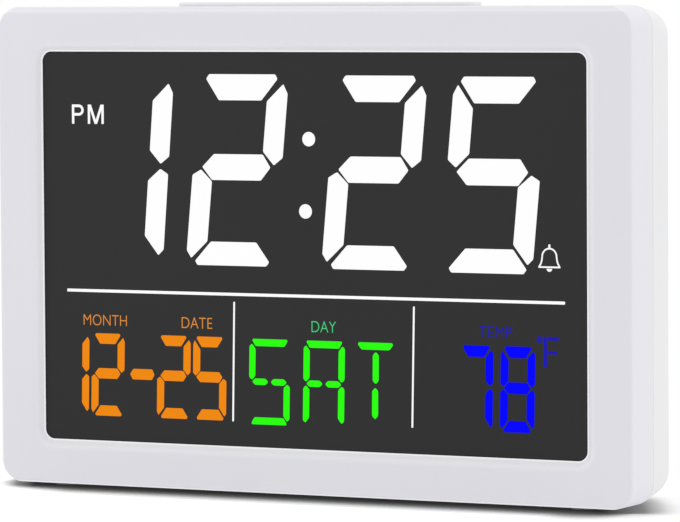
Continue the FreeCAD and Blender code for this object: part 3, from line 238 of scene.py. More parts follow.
def darkFilm(name, look):
    finish, graph, shader = newFinish(name, {"Specular IOR Level": look["gloss"]})
    glow = graph.noise(*look["glow"])
    mesh = graph.noise(*look["mesh"])
    graph.join(graph.mix(glow, colour(*look["tone"]), colour(*look["shade"])), shader["Base Color"])
    rough = look["rough"] + mesh.swing(look["meshRough"]) + glow.swing(look["glowRough"])
    graph.join(rough, shader["Roughness"])
    graph.join(graph.bump(mesh, look["bump"], look["deep"]), shader["Normal"])
    return finish


crystalLook = {"wash": (26, 2), "low": 0.985, "rough": 0.5}


def litCrystal(name, tone):                         # an open segment with the backlight behind it
    steady = {"Base Color": (0.0, 0.0, 0.0), "Specular IOR Level": 0.0, "Emission Strength": 1.0,
              "Roughness": crystalLook["rough"]}
    finish, graph, shader = newFinish(name, steady)
    wash = graph.noise(*crystalLook["wash"])
    glow = graph.mix(wash, scaled(tone, crystalLook["low"]), colour(*tone))
    graph.join(glow, shader["Emission Color"])
    return finish


metalLook = {"streak": (900, 3), "stain": (160, 2), "dull": 0.8, "stainShare": 0.6, "streakRough": 0.14,
             "stainRough": 0.1, "bump": 0.08, "deep": 0.05 * mm}
nickelLook = {**metalLook, "tone": (206, 204, 198), "rough": 0.28, "stretch": (1, 1, 40)}
zincLook = {**metalLook, "tone": (188, 190, 192), "rough": 0.34, "stretch": (1, 1, 1)}


def brushedMetal(name, look):
    finish, graph, shader = newFinish(name, {"Metallic": 1.0})
    streak = graph.noise(*look["streak"], look["stretch"])
    stain = graph.noise(*look["stain"])
    dull = scaled(look["tone"], look["dull"])
    graph.join(graph.mix(stain * look["stainShare"], colour(*look["tone"]), dull), shader["Base Color"])
    rough = look["rough"] + streak.swing(look["streakRough"]) + stain.swing(look["stainRough"])
    graph.join(rough, shader["Roughness"])
    graph.join(graph.bump(streak, look["bump"], look["deep"]), shader["Normal"])
    return finish


rubberLook = {"gloss": 0.3, "dust": (420, 3), "pores": (3600, 1), "dustShare": 0.5, "dustScale": 0.6,
              "dustLift": 0.12, "rough": 0.72, "dustRough": 0.16, "bump": 0.12, "deep": 0.08 * mm}
foamLook = {**rubberLook, "tone": (34, 34, 36)}
feetLook = {**rubberLook, "tone": (70, 70, 74)}


def softRubber(name, look):
    finish, graph, shader = newFinish(name, {"Specular IOR Level": look["gloss"]})
    dust = graph.noise(*look["dust"])
    pores = graph.noise(*look["pores"])
    dusty = scaled(look["tone"], look["dustScale"], look["dustLift"])
    graph.join(graph.mix(dust * look["dustShare"], colour(*look["tone"]), dusty), shader["Base Color"])
    graph.join(look["rough"] + dust.swing(look["dustRough"]), shader["Roughness"])
    graph.join(graph.bump(pores, look["bump"], look["deep"]), shader["Normal"])
    return finish


resinLook = {"speck": (2600, 2), "cloud": (240, 2), "pale": 1.5, "speckRough": 0.12, "bump": 0.08,
             "deep": 0.05 * mm}
chipLook = {**resinLook, "tone": (24, 24, 26), "rough": 0.6}
tanLook = {**resinLook, "tone": (120, 88, 58), "rough": 0.5}
jackLook = {**resinLook, "tone": (20, 20, 22), "rough": 0.4}
plungerLook = {**resinLook, "tone": (206, 200, 186), "rough": 0.45}
leadLook = {**resinLook, "tone": (150, 26, 22), "rough": 0.45}


def castResin(name, look):
    finish, graph, shader = newFinish(name)
    speck = graph.noise(*look["speck"])
    cloud = graph.noise(*look["cloud"])
    pale = scaled(look["tone"], look["pale"])
    graph.join(graph.mix(cloud, colour(*look["tone"]), pale), shader["Base Color"])
    graph.join(look["rough"] + speck.swing(look["speckRough"]), shader["Roughness"])
    graph.join(graph.bump(speck, look["bump"], look["deep"]), shader["Normal"])
    return finish


sheetLook = {"bend": 1.5, "haze": (60, 2), "smear": (700, 2), "dull": 0.94, "smearRough": 0.05,
             "bump": 0.02, "deep": 0.02 * mm}
glassLook = {**sheetLook, "tone": (226, 236, 232), "rough": 0.08, "through": 0.8}
guideLook = {**sheetLook, "tone": (238, 242, 244), "rough": 0.12, "through": 0.7}
diffuserLook = {**sheetLook, "tone": (240, 240, 240), "rough": 0.6, "through": 0.2}
reflectorLook = {**sheetLook, "tone": (246, 246, 246), "rough": 0.35, "through": 0.0}
backlightLook = {**sheetLook, "tone": (236, 236, 232), "rough": 0.45, "through": 0.0}


def clearSheet(name, look):
    finish, graph, shader = newFinish(name, {"Transmission Weight": look["through"], "IOR": look["bend"]})
    haze = graph.noise(*look["haze"])
    smear = graph.noise(*look["smear"])
    dull = scaled(look["tone"], look["dull"])
    graph.join(graph.mix(haze, colour(*look["tone"]), dull), shader["Base Color"])
    graph.join(look["rough"] + smear.swing(look["smearRough"]), shader["Roughness"])
    graph.join(graph.bump(smear, look["bump"], look["deep"]), shader["Normal"])
    return finish


boardLook = {"gloss": 0.5, "cells": 330, "climb": 0.5, "pitch": 1.1 * mm, "track": 0.32 * mm,
             "trackFrom": 0.34, "padTo": 0.12, "mask": (18, 92, 48), "copper": (34, 126, 62),
             "pad": (196, 178, 120), "padShare": 0.8, "padMetal": 0.7, "rough": 0.34, "copperRough": 0.1,
             "bump": 0.3, "deep": 0.03 * mm}


def circuitBoard(name, look):
    finish, graph, shader = newFinish(name, {"Specular IOR Level": look["gloss"]})
    cells = graph.add("ShaderNodeTexVoronoi", {"distance": "CHEBYCHEV", "feature": "F1"},
                      {"Vector": graph.place(), "Scale": look["cells"]})
    ways = graph.other("PINGPONG", graph.axis("X") + graph.axis("Z") * look["climb"], look["pitch"])
    copper = (ways < look["track"]) * (cells > look["trackFrom"])
    pads = cells < look["padTo"]
    mask = graph.mix(copper, colour(*look["mask"]), colour(*look["copper"]))
    graph.join(graph.mix(pads * look["padShare"], mask, colour(*look["pad"])), shader["Base Color"])
    graph.join(look["rough"] + look["copperRough"] * copper, shader["Roughness"])
    graph.join(pads * look["padMetal"], shader["Metallic"])
    graph.join(graph.bump(copper, look["bump"], look["deep"]), shader["Normal"])
    return finish


sleeveLook = {"gloss": 0.5, "half": 5.6 * mm, "endLow": 0.155, "endHigh": 0.944, "dark": (52, 54, 60),
              "warm": (206, 138, 66), "warmEnd": (214, 150, 78), "darkTo": 0.70, "warmFrom": 0.715,
              "scuff": (380, 3), "scuffShare": 0.25, "scuffTone": (150, 140, 130),
              "steel": (190, 190, 188), "rough": 0.28, "scuffRough": 0.16, "metal": 0.55, "endMetal": 0.4}


def cellSleeve(name, look):                         # plain two-tone sleeve with steel ends
    finish, graph, shader = newFinish(name, {"Specular IOR Level": look["gloss"]})
    low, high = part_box("battery_cells")
    offMiddle = graph.other("ABSOLUTE", graph.axis("Z") - (low.z + high.z) / 2)
    middle = offMiddle < look["half"]               # the middle cell lies the other way round
    fromLeft = (graph.axis("X") - low.x) / (high.x - low.x)
    share = middle * fromLeft + (1 - middle) * (1 - fromLeft)
    bare = (share < look["endLow"]) + (share > look["endHigh"])
    dark = colour(*look["dark"])
    band = graph.ramp(share, [(0.0, dark), (look["darkTo"], dark), (look["warmFrom"], colour(*look["warm"])),
                              (1.0, colour(*look["warmEnd"]))])
    scuff = graph.noise(*look["scuff"])
    wrap = graph.mix(scuff * look["scuffShare"], band, colour(*look["scuffTone"]))
    graph.join(graph.mix(bare, wrap, colour(*look["steel"])), shader["Base Color"])
    graph.join(look["rough"] + scuff.swing(look["scuffRough"]), shader["Roughness"])
    graph.join(look["metal"] + look["endMetal"] * bare, shader["Metallic"])
    return finish


canLook = {"topDeep": 0.4 * mm, "scuff": (500, 2), "dark": (22, 24, 30), "worn": (38, 40, 48),
           "top": (198, 198, 200), "rough": 0.34, "scuffRough": 0.12}


def capacitorCan(name, look):
    finish, graph, shader = newFinish(name)
    low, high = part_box("filter_capacitors")
    top = graph.axis("Y") > high.y - look["topDeep"]
    scuff = graph.noise(*look["scuff"])
    sleeve = graph.mix(scuff, colour(*look["dark"]), colour(*look["worn"]))
    graph.join(graph.mix(top, sleeve, colour(*look["top"])), shader["Base Color"])
    graph.join(top, shader["Metallic"])
    graph.join(look["rough"] + scuff.swing(look["scuffRough"]), shader["Roughness"])
    return finish


diodeLook = {"glow": 0.5, "cloud": (900, 2), "tones": ((246, 226, 130), (252, 240, 180)),
             "lights": ((200, 190, 150), (230, 226, 210)), "rough": 0.3, "cloudRough": 0.1}


def amberDiode(name, look):
    finish, graph, shader = newFinish(name, {"Emission Strength": look["glow"]})
    cloud = graph.noise(*look["cloud"])
    graph.join(graph.mix(cloud, *[colour(*tone) for tone in look["tones"]]), shader["Base Color"])
    graph.join(graph.mix(cloud, *[colour(*tone) for tone in look["lights"]]), shader["Emission Color"])
    graph.join(look["rough"] + look["cloudRough"] * cloud, shader["Roughness"])
    return finish


cableLook = {"pitch": 0.5 * mm, "lead": (150, 150, 150), "tone": (232, 232, 230), "rough": 0.5,
             "grooveRough": 0.1, "bump": 0.4, "deep": 0.1 * mm}


def ribbonCable(name, look):
    finish, graph, shader = newFinish(name)
    groove = graph.other("PINGPONG", graph.axis("X"), look["pitch"]) / look["pitch"]
    graph.join(graph.mix(groove, colour(*look["lead"]), colour(*look["tone"])), shader["Base Color"])
    graph.join(look["rough"] + look["grooveRough"] * groove, shader["Roughness"])
    graph.join(graph.bump(groove, look["bump"], look["deep"]), shader["Normal"])
    return finish


tintLook = {"gloss": 0.4, "under": 13 * mm, "wide": 166.2 * mm, "orange": (240, 135, 20),
            "green": (45, 240, 30), "blue": (20, 20, 250), "clear": (244, 244, 244),
            "orangeTo": 0.358, "greenFrom": 0.36, "greenTo": 0.682, "blueFrom": 0.684, "haze": (300, 2),
            "rough": 0.35, "hazeRough": 0.1}


def colouredFilm(name, look):                       # tinted zones behind the lower part of the display
    finish, graph, shader = newFinish(name, {"Specular IOR Level": look["gloss"]})
    orange, green, blue = [colour(*look[part]) for part in ("orange", "green", "blue")]
    below = graph.axis("Z") < midZ - look["under"]
    zones = graph.ramp((graph.axis("X") - midX) / look["wide"] + 0.5,
                       [(0.0, orange), (look["orangeTo"], orange), (look["greenFrom"], green),
                        (look["greenTo"], green), (look["blueFrom"], blue), (1.0, blue)])
    haze = graph.noise(*look["haze"])
    graph.join(graph.mix(below, colour(*look["clear"]), zones), shader["Base Color"])
    graph.join(look["rough"] + look["hazeRough"] * haze, shader["Roughness"])
    return finish


# the shell's finish carries painted highlights on the window rim and on the front's top and bottom edges
shell = mouldedPlastic("shellWhite", {**shellLook, "rim": rimLook, "edges": (paintedTopHighlight, paintedBottomHighlight)})
dress(shell, "front_frame")
keyWhite = mouldedPlastic("keyWhite", keyLook)
dress(mouldedPlastic("coverWhite", coverLook), "rear_cover", "battery_door", "stand_leg")
dress(mouldedPlastic("barWhite", barLook), "snooze_bar")
dress(keyWhite, "set_button", "down_button", "up_button", "alarm_button", "light_button")
dress(darkFilm("displayFilm", filmLook), "front_polariser")
dress(darkFilm("innerFilm", filmLook), "rear_polariser")
dress(clearSheet("displayGlass", glassLook), "lcd_front_glass", "lcd_rear_glass")
dress(clearSheet("acrylicGuide", guideLook), "light_guide")
dress(clearSheet("whiteDiffuser", diffuserLook), "diffuser_sheet")
dress(clearSheet("whiteReflector", reflectorLook), "reflector_sheet")
dress(colouredFilm("tintedFilm", tintLook), "colour_film")
dress(softRubber("blackFoam", foamLook), "dust_gasket", "zebra_strip")
dress(softRubber("greyRubber", feetLook), "rubber_feet")
dress(mouldedPlastic("trayWhite", trayLook), "display_tray")
dress(circuitBoard("boardGreen", boardLook), "main_board", "button_board", "snooze_board")
dress(clearSheet("boardWhite", backlightLook), "backlight_board")
dress(amberDiode("backlightDiode", diodeLook), "backlight_leds")
dress(castResin("chipResin", chipLook), "controller_chip", "voltage_regulator", "alarm_buzzer", "temp_sensor")
dress(castResin("partsTan", tanLook), "chip_parts")
dress(castResin("jackBlack", jackLook), "power_jack", "button_switches", "snooze_switches")
dress(castResin("plungerIvory", plungerLook), "snooze_plungers", "set_plunger", "down_plunger", "up_plunger",
      "alarm_plunger", "light_plunger")
dress(brushedMetal("cellNickel", nickelLook), "cell_contacts", "cell_springs", "jack_pin", "crystal_can")
dress(brushedMetal("screwZinc", zincLook), "case_screws", "tray_screws", "board_screws", "control_screws")
dress(capacitorCan("capacitorSleeve", canLook), "filter_capacitors")
dress(ribbonCable("flatCable", cableLook), "control_cable", "snooze_cable")
dress(castResin("leadRed", leadLook), "battery_leads")
dress(cellSleeve("cellWrap", sleeveLook), "battery_cells")
print("finishes on", len(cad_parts), "pieces")


# longest share of an edge, places on the curve, rounding of a strip as a share of its width
roundLook = {"most": 0.45, "blends": (0.33, 0.67), "strip": 0.3}


def roundOff(points, radius):                       # cuts each corner with a short curve
    made = []
    for row, here in enumerate(points):
        ends = []
        for end in (points[row - 1], points[(row + 1) % len(points)]):
            way = (end[0] - here[0], end[1] - here[1])
            far = math.hypot(*way)
            step = min(radius, roundLook["most"] * far) / far
            ends.append((here[0] + way[0] * step, here[1] + way[1] * step))
        start, stop = ends
        made.append(start)
        for blend in roundLook["blends"]:
            first = [s + (h - s) * blend for s, h in zip(start, here)]
            second = [h + (e - h) * blend for h, e in zip(here, stop)]
            made.append(tuple(f + (g - f) * blend for f, g in zip(first, second)))
        made.append(stop)
    return made


inkThick = 0.02 * mm


def addInk(name, mesh, solid, finish, body, facing):    # thickens flat faces into a printed mark
    grown = bmesh.ops.extrude_face_region(solid, geom=list(solid.faces))
    front = [part for part in grown["geom"] if isinstance(part, bmesh.types.BMVert)]
    bmesh.ops.translate(solid, verts=front, vec=(0, facing * inkThick, 0))
    bmesh.ops.recalc_face_normals(solid, faces=solid.faces)
    solid.to_mesh(mesh)
    solid.free()
    mesh.materials.clear()
    mesh.materials.append(finish)
    piece = bpy.data.objects.new(name, mesh)
    scene.collection.objects.link(piece)
    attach(piece, body)


def flatPiece(name, outlines, surfaceY, finish, body, facing):
    solid = bmesh.new()
    for outline in outlines:
        corners = [solid.verts.new((midX + x * mm * -facing, surfaceY, midZ + z * mm)) for x, z in outline]
        solid.faces.new(corners)
    bmesh.ops.recalc_face_normals(solid, faces=solid.faces)
    addInk(name, bpy.data.meshes.new(name), solid, finish, body, facing)


def displayPiece(name, outlines, finish):           # a mark on the front of the display
    flatPiece(name, outlines, filmFront, finish, "case", -1)


def bar(start, end, across, tips, cuts):            # a segment: two tips and a long edge on each side
    ax, az = across
    long = math.hypot(end[0] - start[0], end[1] - start[1])
    ux, uz = (end[0] - start[0]) / long, (end[1] - start[1]) / long
    (startCut, startCutBack), (endCut, endCutBack) = cuts
    return [(start[0] + ax * tips[0], start[1] + az * tips[0]),
            (start[0] + ax + ux * startCut, start[1] + az + uz * startCut),
            (end[0] + ax - ux * endCut, end[1] + az - uz * endCut),
            (end[0] + ax * tips[1], end[1] + az * tips[1]),
            (end[0] - ax - ux * endCutBack, end[1] - az - uz * endCutBack),
            (start[0] - ax + ux * startCutBack, start[1] - az + uz * startCutBack)]


def strip(x0, z0, x1, z1, wide):                    # a straight line with round ends
    long = math.hypot(x1 - x0, z1 - z0)
    ux, uz = (x1 - x0) / long * wide / 2, (z1 - z0) / long * wide / 2
    corners = [(x0 - uz, z0 + ux), (x1 - uz, z1 + ux), (x1 + uz, z1 - ux), (x0 + uz, z0 - ux)]
    return roundOff(corners, wide * roundLook["strip"])


def disc(x, z, radius, count=40):
    turns = [2 * math.pi * step / count for step in range(count)]
    return [(x + radius * math.cos(turn), z + radius * math.sin(turn)) for turn in turns]


def ribbon(points, wide, closed=False):             # a drawn line of even width, in four-sided faces
    sides = []
    count = len(points)
    for row, here in enumerate(points):
        before = points[row - 1] if row > 0 or closed else here
        after = points[(row + 1) % count] if row < count - 1 or closed else here
        way = (after[0] - before[0], after[1] - before[1])
        far = math.hypot(*way)
        out = (-way[1] / far * wide / 2, way[0] / far * wide / 2)
        sides.append(((here[0] + out[0], here[1] + out[1]), (here[0] - out[0], here[1] - out[1])))
    faces = []
    for row in range(count if closed else count - 1):
        left, right = sides[row]
        nextLeft, nextRight = sides[(row + 1) % count]
        faces.append([left, nextLeft, nextRight, right])
    return faces


# each post: across as a share of its width, up as a share of the beam height
segmentLook = {
    "upper": ((0.0, -0.03), (0.75, 0.63), (1.0, 0.26), (1.0, 0.38), (0.59, 0.09), (0.0, 0.61)),
    "lower": ((0.0, -0.61), (0.59, -0.11), (1.0, -0.34), (1.0, 0.62), (0.75, 0.29), (0.0, 1.01)),
    "right": ((0.0, -0.61), (0.59, -0.11), (1.0, -0.34), (1.0, 0.62), (0.75, 0.37), (0.0, 1.19)),
    "left": ((0.0, -0.26), (0.80, 0.63), (1.0, 0.26), (1.0, 0.38), (0.59, 0.09), (0.0, 0.61)),
    "beam": ((0.18, 1.0), (-0.54, 0.18), (-0.41, 0.0)), "middle": (0.46, 0.57), "level": 0.515}
postKinds = {(1, 1): "upper", (-1, 1): "left", (1, -1): "right", (-1, -1): "lower"}


class Cell:                                         # the box that one display character fills
    def __init__(self, look, left, shift, lean=0.0):
        self.look = look
        self.slant = look["lean"] + lean
        self.left = left
        self.right = left + look["wide"]
        self.top = look["top"] + shift
        self.low = look["bottom"] + shift
        self.middle = self.low + (self.top - self.low) * segmentLook["level"]

    def lean(self, points):
        return [(x + self.slant * z, z) for x, z in points]

    def post(self, side, level):                    # an upright segment, its ends cut to points
        look = self.look
        wide = look["post"]
        inner = self.right - wide if side > 0 else self.left + wide
        tall = look["beam"] if level > 0 else look["foot"]
        upper, lower = (self.top - tall, self.middle) if level > 0 else (self.middle, self.low)
        lift = look["lift"] if side < 0 < level else 0
        points = []
        for base, (share, deep) in zip([upper] * 3 + [lower] * 3, segmentLook[postKinds[side, level]]):
            points.append((inner + side * share * wide, base + deep * tall + lift))
        return self.lean(points)

    def beam(self, outer):                          # the top or the bottom segment
        look = self.look
        wide = look["post"]
        edge, tall = (self.top, look["beam"]) if outer > 0 else (self.low, look["foot"])
        farLeft, farRight = look["ends"][outer]
        points = []
        for side, inner in ((-1, self.left + wide + farLeft), (1, self.right - wide + farRight)):
            row = [(inner - side * share * wide, edge - outer * deep * tall)
                   for share, deep in segmentLook["beam"]]
            points += row if side < 0 else row[::-1]
        return self.lean(points)

    def crossbar(self):                             # the middle segment, pointed at both ends
        wide, half, mid = self.look["post"], self.look["beam"] / 2, self.middle
        tipL, tipR = segmentLook["middle"]
        inL, inR = self.left + wide, self.right - wide
        return self.lean([(self.left + tipL * wide, mid), (inL, mid + half), (inR, mid + half),
                          (self.right - tipR * wide, mid), (inR, mid - half), (inL, mid - half)])

    def segment(self, letter):                      # the usual letters, a at the top, g in the middle
        if letter == "g":
            return self.crossbar()
        if letter in "ad":
            return self.beam(1 if letter == "a" else -1)
        return self.post(1 if letter in "bc" else -1, 1 if letter in "bf" else -1)


numerals = {"1": "bc", "2": "abged", "5": "afgcd", "7": "abc", "8": "abcdefg"}


def numberShapes(look):
    shapes = []
    for mark, left in zip(look["text"], look["lefts"]):
        cell = Cell(look, *left)
        shapes += [roundOff(cell.segment(letter), look["round"]) for letter in numerals[mark]]
    return shapes


timeLook = {"wide": 27.1, "top": 47.1, "bottom": -4.4, "post": 6.1, "beam": 7.0, "foot": 6.4,
            "lean": 0.095, "round": 0.35, "text": "1225", "tone": (255, 255, 255),
            "ends": {1: (-0.85, -0.6), -1: (0.0, 1.15)}, "lift": 0.45,
            "lefts": ((-71.4, 0, -0.018), (-37.1, 0), (4.2, -0.2), (39.1, -0.35))}
whiteLit = litCrystal("litWhite", timeLook["tone"])
displayPiece("time_digits", numberShapes(timeLook), whiteLit)

colonLook = {"dots": ((0.25, 29.9), (-0.85, 10.6)), "radius": 1.93}
displayPiece("colon_dots", [disc(*dot, colonLook["radius"]) for dot in colonLook["dots"]], whiteLit)

dateLook = {"wide": 10.3, "top": -23.75, "bottom": -46.3, "post": 2.2, "beam": 2.85, "foot": 2.85,
            "lean": 0.02, "round": 0.2, "text": "1225", "tone": (241, 138, 22),
            "ends": {1: (0.0, -0.35), -1: (0.25, 0.25)}, "lift": 0.0,
            "lefts": ((-77.6, 0), (-66.5, 0), (-45.95, 0), (-34.85, 0))}
dashLook = {"from": (-55.1, -34.6), "to": (-47.5, -34.6), "half": 1.45, "cuts": ((1.0, 0.8), (0.7, 0.8)),
            "round": 0.3}
orangeLit = litCrystal("litOrange", dateLook["tone"])
dash = bar(dashLook["from"], dashLook["to"], (0, dashLook["half"]), (0, 0), dashLook["cuts"])
displayPiece("date_digits", numberShapes(dateLook) + [roundOff(dash, dashLook["round"])], orangeLit)

heatLook = {"wide": 9.9, "top": -23.75, "bottom": -46.3, "post": 2.2, "beam": 3.0, "foot": 3.0,
            "lean": 0.02, "round": 0.25, "text": "78", "tone": (10, 10, 255),
            "ends": {1: (0.0, -0.1), -1: (0.0, 0.0)}, "lift": 0.0, "lefts": ((45.1, 0), (57.2, 0))}
blueLit = litCrystal("litBlue", heatLook["tone"])
displayPiece("heat_digits", numberShapes(heatLook), blueLit)

# cuts, insets and tips are shares of the post width or the beam height
dayLook = {"wide": 12.4, "top": -23.9, "bottom": -46.95, "post": 1.88, "beam": 1.94, "lean": 0.02,
           "lefts": {"S": -17.6, "A": -1.15}, "tone": (45, 255, 20), "round": 0.4, "gap": 0.45,
           "topCut": 0.65, "lowCut": 0.5, "postTips": (0.2, 0.1), "postCuts": ((0.35, 0.75), (0.4, 0.55)),
           "splitGap": 0.35, "splitInset": 0.5, "splitShare": 0.45,
           "beamInset": 0.45, "beamTips": (0.6, 0.6), "beamCuts": (0.1, 0.5)}
crossLook = {"from": 14.6, "to": 25.1, "tips": (0.4, 0.4), "cuts": ((0.25, 1.1), (0.25, 1.1)),
             "stem": 19.75, "stemShifts": (0.1, -0.15), "stemLean": 0.1, "half": 0.9, "under": 0.5,
             "above": 2.6}
letterPosts = {"S": ((-1, 1), (1, -1)), "A": ((-1, 1), (1, 1), (-1, -1), (1, -1))}
letterBeams = {"S": (1, -1), "A": (1,)}


def dayPost(look, left, side, level):               # an upright of S or A
    u, v = look["post"], look["beam"]
    mid = (look["top"] + look["bottom"]) / 2
    x = left + look["wide"] - u / 2 if side > 0 else left + u / 2
    end = look["top"] - look["topCut"] * v if level > 0 else look["bottom"] + look["lowCut"] * v
    near = mid + level * look["gap"]
    cuts = [(cut * v, cutBack * v) for cut, cutBack in look["postCuts"]]
    return bar((x + look["lean"] * end, end), (x + look["lean"] * near, near), (side * u / 2, 0),
               look["postTips"], cuts)


def dayMiddle(look, left):                          # the middle bar, in two halves
    u, v = look["post"], look["beam"]
    mid = (look["top"] + look["bottom"]) / 2
    shift = look["lean"] * mid
    inset, half = look["splitInset"] * u, look["wide"] / 2
    deep = look["splitShare"] * v
    ends = ((left + inset, left + half - look["splitGap"]),
            (left + half + look["splitGap"], left + look["wide"] - inset))
    return [bar((x0 + shift, mid), (x1 + shift, mid), (0, deep), (0, 0), ((deep, deep), (deep, deep)))
            for x0, x1 in ends]


def dayBeam(look, left, outer):                     # the top or the bottom bar of S or A
    u, v = look["post"], look["beam"]
    edge = look["top"] if outer > 0 else look["bottom"]
    z = edge - outer * v / 2
    start = left + look["beamInset"] * u + look["lean"] * edge
    end = left + look["wide"] - look["beamInset"] * u + look["lean"] * edge
    cut = [share * u for share in look["beamCuts"]]
    return bar((start, z), (end, z), (0, outer * v / 2), look["beamTips"], (cut, cut))


def crossLetter(look, cross):                       # T: a bar, and a stem in two halves
    v = look["beam"]
    z = look["top"] - v / 2
    mid = (look["top"] + look["bottom"]) / 2
    half = cross["half"]
    upper, lower = cross["stemShifts"]
    shapes = [bar((cross["from"], z), (cross["to"], z), (0, v / 2), cross["tips"], cross["cuts"])]
    for start, end, shift in ((look["top"] - v - cross["under"], mid + look["gap"], upper),
                              (mid - look["gap"], look["bottom"] + cross["above"], lower)):
        x = cross["stem"] + shift
        shapes.append(bar((x + cross["stemLean"], start), (x, end), (half, 0), (0, 0),
                          ((half, half), (half, half))))
    return shapes


def dayShapes(look, cross):
    shapes = []
    for letter, left in look["lefts"].items():
        shapes += [dayPost(look, left, side, level) for side, level in letterPosts[letter]]
        shapes += dayMiddle(look, left)
        shapes += [dayBeam(look, left, outer) for outer in letterBeams[letter]]
    return [roundOff(shape, look["round"]) for shape in shapes + crossLetter(look, cross)]


greenLit = litCrystal("litGreen", dayLook["tone"])
displayPiece("day_letters", dayShapes(dayLook, crossLook), greenLit)

ruleLook = {"level": (-74.7, -12.15, 75.2, -12.0), "wide": 0.8, "thin": 0.52,
            "posts": ((-22.7, -14.1, -23.3, -46.4), (31.3, -14.0, 30.65, -46.15))}
rules = [strip(*ruleLook["level"], ruleLook["wide"])]
rules += [strip(*post, ruleLook["thin"]) for post in ruleLook["posts"]]
displayPiece("rule_lines", rules, whiteLit)


wordLook = {"base": -21.6, "top": -18.65, "thin": 0.012, "weld": 1e-5, "orange": (224, 142, 62),
            "green": (70, 205, 125), "blue": (34, 28, 190)}


def word(name, text, left, right, finish):          # a small word, stretched between its two sides
    letters = bpy.data.curves.new(name + "Letters", "FONT")
    letters.body = text
    letters.offset = -wordLook["thin"]
    stand = bpy.data.objects.new(name + "Stand", letters)
    scene.collection.objects.link(stand)
    bpy.context.view_layer.update()
    mesh = bpy.data.meshes.new_from_object(stand.evaluated_get(bpy.context.evaluated_depsgraph_get()))
    bpy.data.objects.remove(stand)
    low = [min(v.co[axis] for v in mesh.vertices) for axis in (0, 1)]
    high = [max(v.co[axis] for v in mesh.vertices) for axis in (0, 1)]
    base, top = wordLook["base"], wordLook["top"]
    solid = bmesh.new()
    solid.from_mesh(mesh)
    bmesh.ops.remove_doubles(solid, verts=solid.verts, dist=wordLook["weld"])
    for corner in solid.verts:
        across = (corner.co.x - low[0]) / (high[0] - low[0])
        upward = (corner.co.y - low[1]) / (high[1] - low[1])
        x = midX + (left + across * (right - left)) * mm
        z = midZ + (base + upward * (top - base)) * mm
        corner.co = (x, filmFront, z)
    addInk(name, mesh, solid, finish, "case", -1)


amberLit = litCrystal("litAmber", wordLook["orange"])
mintLit = litCrystal("litMint", wordLook["green"])
navyLit = litCrystal("litNavy", wordLook["blue"])
wordPlaces = {"month_word": ("MONTH", -69.6, -56.0, amberLit), "date_word": ("DATE", -38.9, -29.5, amberLit),
              "day_word": ("DAY", 0.75, 8.1, mintLit), "temp_word": ("TEMP", 50.4, 59.9, navyLit)}
for wordName, wordPlace in wordPlaces.items():      # text, left side, right side, finish
    word(wordName, *wordPlace)

letterLook = {"base": 33.4, "top": 38.65, "line": 0.72, "P": (-72.7, -69.0), "M": (-67.7, -62.7),
              "bowl": 0.29, "bowlSteps": 14, "slopeFrom": 0.3, "slopeWide": 1.08}


def upright(x0, x1, low, high):
    return [(x0, low), (x1, low), (x1, high), (x0, high)]


def letterP(look):
    low, high, line, steps = look["base"], look["top"], look["line"], look["bowlSteps"]
    x0, x1 = look["P"]
    radius = (high - low) * look["bowl"]
    bend = radius - line / 2
    bowl = [(x0 + line, high - line / 2)]
    for step in range(steps + 1):
        turn = math.pi / 2 - math.pi * step / steps
        bowl.append((x1 - radius + bend * math.cos(turn), high - radius + bend * math.sin(turn)))
    bowl.append((x0 + line, high - 2 * radius + line / 2))
    return [upright(x0, x0 + line, low, high)] + ribbon(bowl, line)


def letterM(look):
    low, high, line = look["base"], look["top"], look["line"]
    x0, x1 = look["M"]
    mid = (x0 + x1) / 2
    wide = line * look["slopeWide"]
    inset = line * look["slopeFrom"]
    foot = [(mid + wide / 2, low), (mid - wide / 2, low)]
    return [upright(x0, x0 + line, low, high), upright(x1 - line, x1, low, high),
            [(x0 + inset, high), (x0 + inset + wide, high)] + foot,
            [(x1 - inset - wide, high), (x1 - inset, high)] + foot]


displayPiece("pm_word", letterP(letterLook) + letterM(letterLook), whiteLit)

bellLook = {"x": 70.75, "foot": -2.75, "rise": 4.85, "half": 2.05, "flare": 0.95, "line": 0.43,
            "steps": 12, "waist": (0.15, 1.7), "skirt": (0.4, 0.9), "overhang": 0.15, "knob": 1.1,
            "knobWide": 0.6, "clapper": 0.8, "clapperUp": -0.4}


def bellShapes(look):
    x, foot, half, steps = look["x"], look["foot"], look["half"], look["steps"]
    top = foot + look["rise"]
    right = []
    for step in range(steps + 1):                   # dome, then straight side, then flared rim
        turn = math.pi / 2 * (1 - step / steps)
        right.append((half * math.cos(turn), top - half + half * math.sin(turn)))
    right += [(half + out, foot + up) for out, up in (look["waist"], look["skirt"], (look["flare"], 0))]
    loop = [(x - out, z) for out, z in reversed(right[1:])] + [(x + out, z) for out, z in right]
    base = half + look["flare"] + look["overhang"]
    clapper = []
    for step in range(steps + 1):
        turn = math.pi + math.pi * step / steps
        clapper.append((x + look["clapper"] * math.cos(turn),
                        foot + look["clapperUp"] + look["clapper"] * math.sin(turn)))
    return ribbon(loop, look["line"]) + [strip(x - base, foot, x + base, foot, look["line"]),
                                         strip(x, top, x, top + look["knob"], look["knobWide"]), clapper]


displayPiece("alarm_bell", bellShapes(bellLook), whiteLit)

degreeLook = {"ring": (67.9, -21.7, 0.6, 20), "ringLine": 0.5, "left": 69.1, "right": 73.3, "top": -21.0,
              "middle": -25.05, "bottom": -28.9, "stroke": 0.8, "inset": 1.1, "drop": 0.4, "short": 0.4,
              "topLine": 0.85, "middleLine": 0.75}


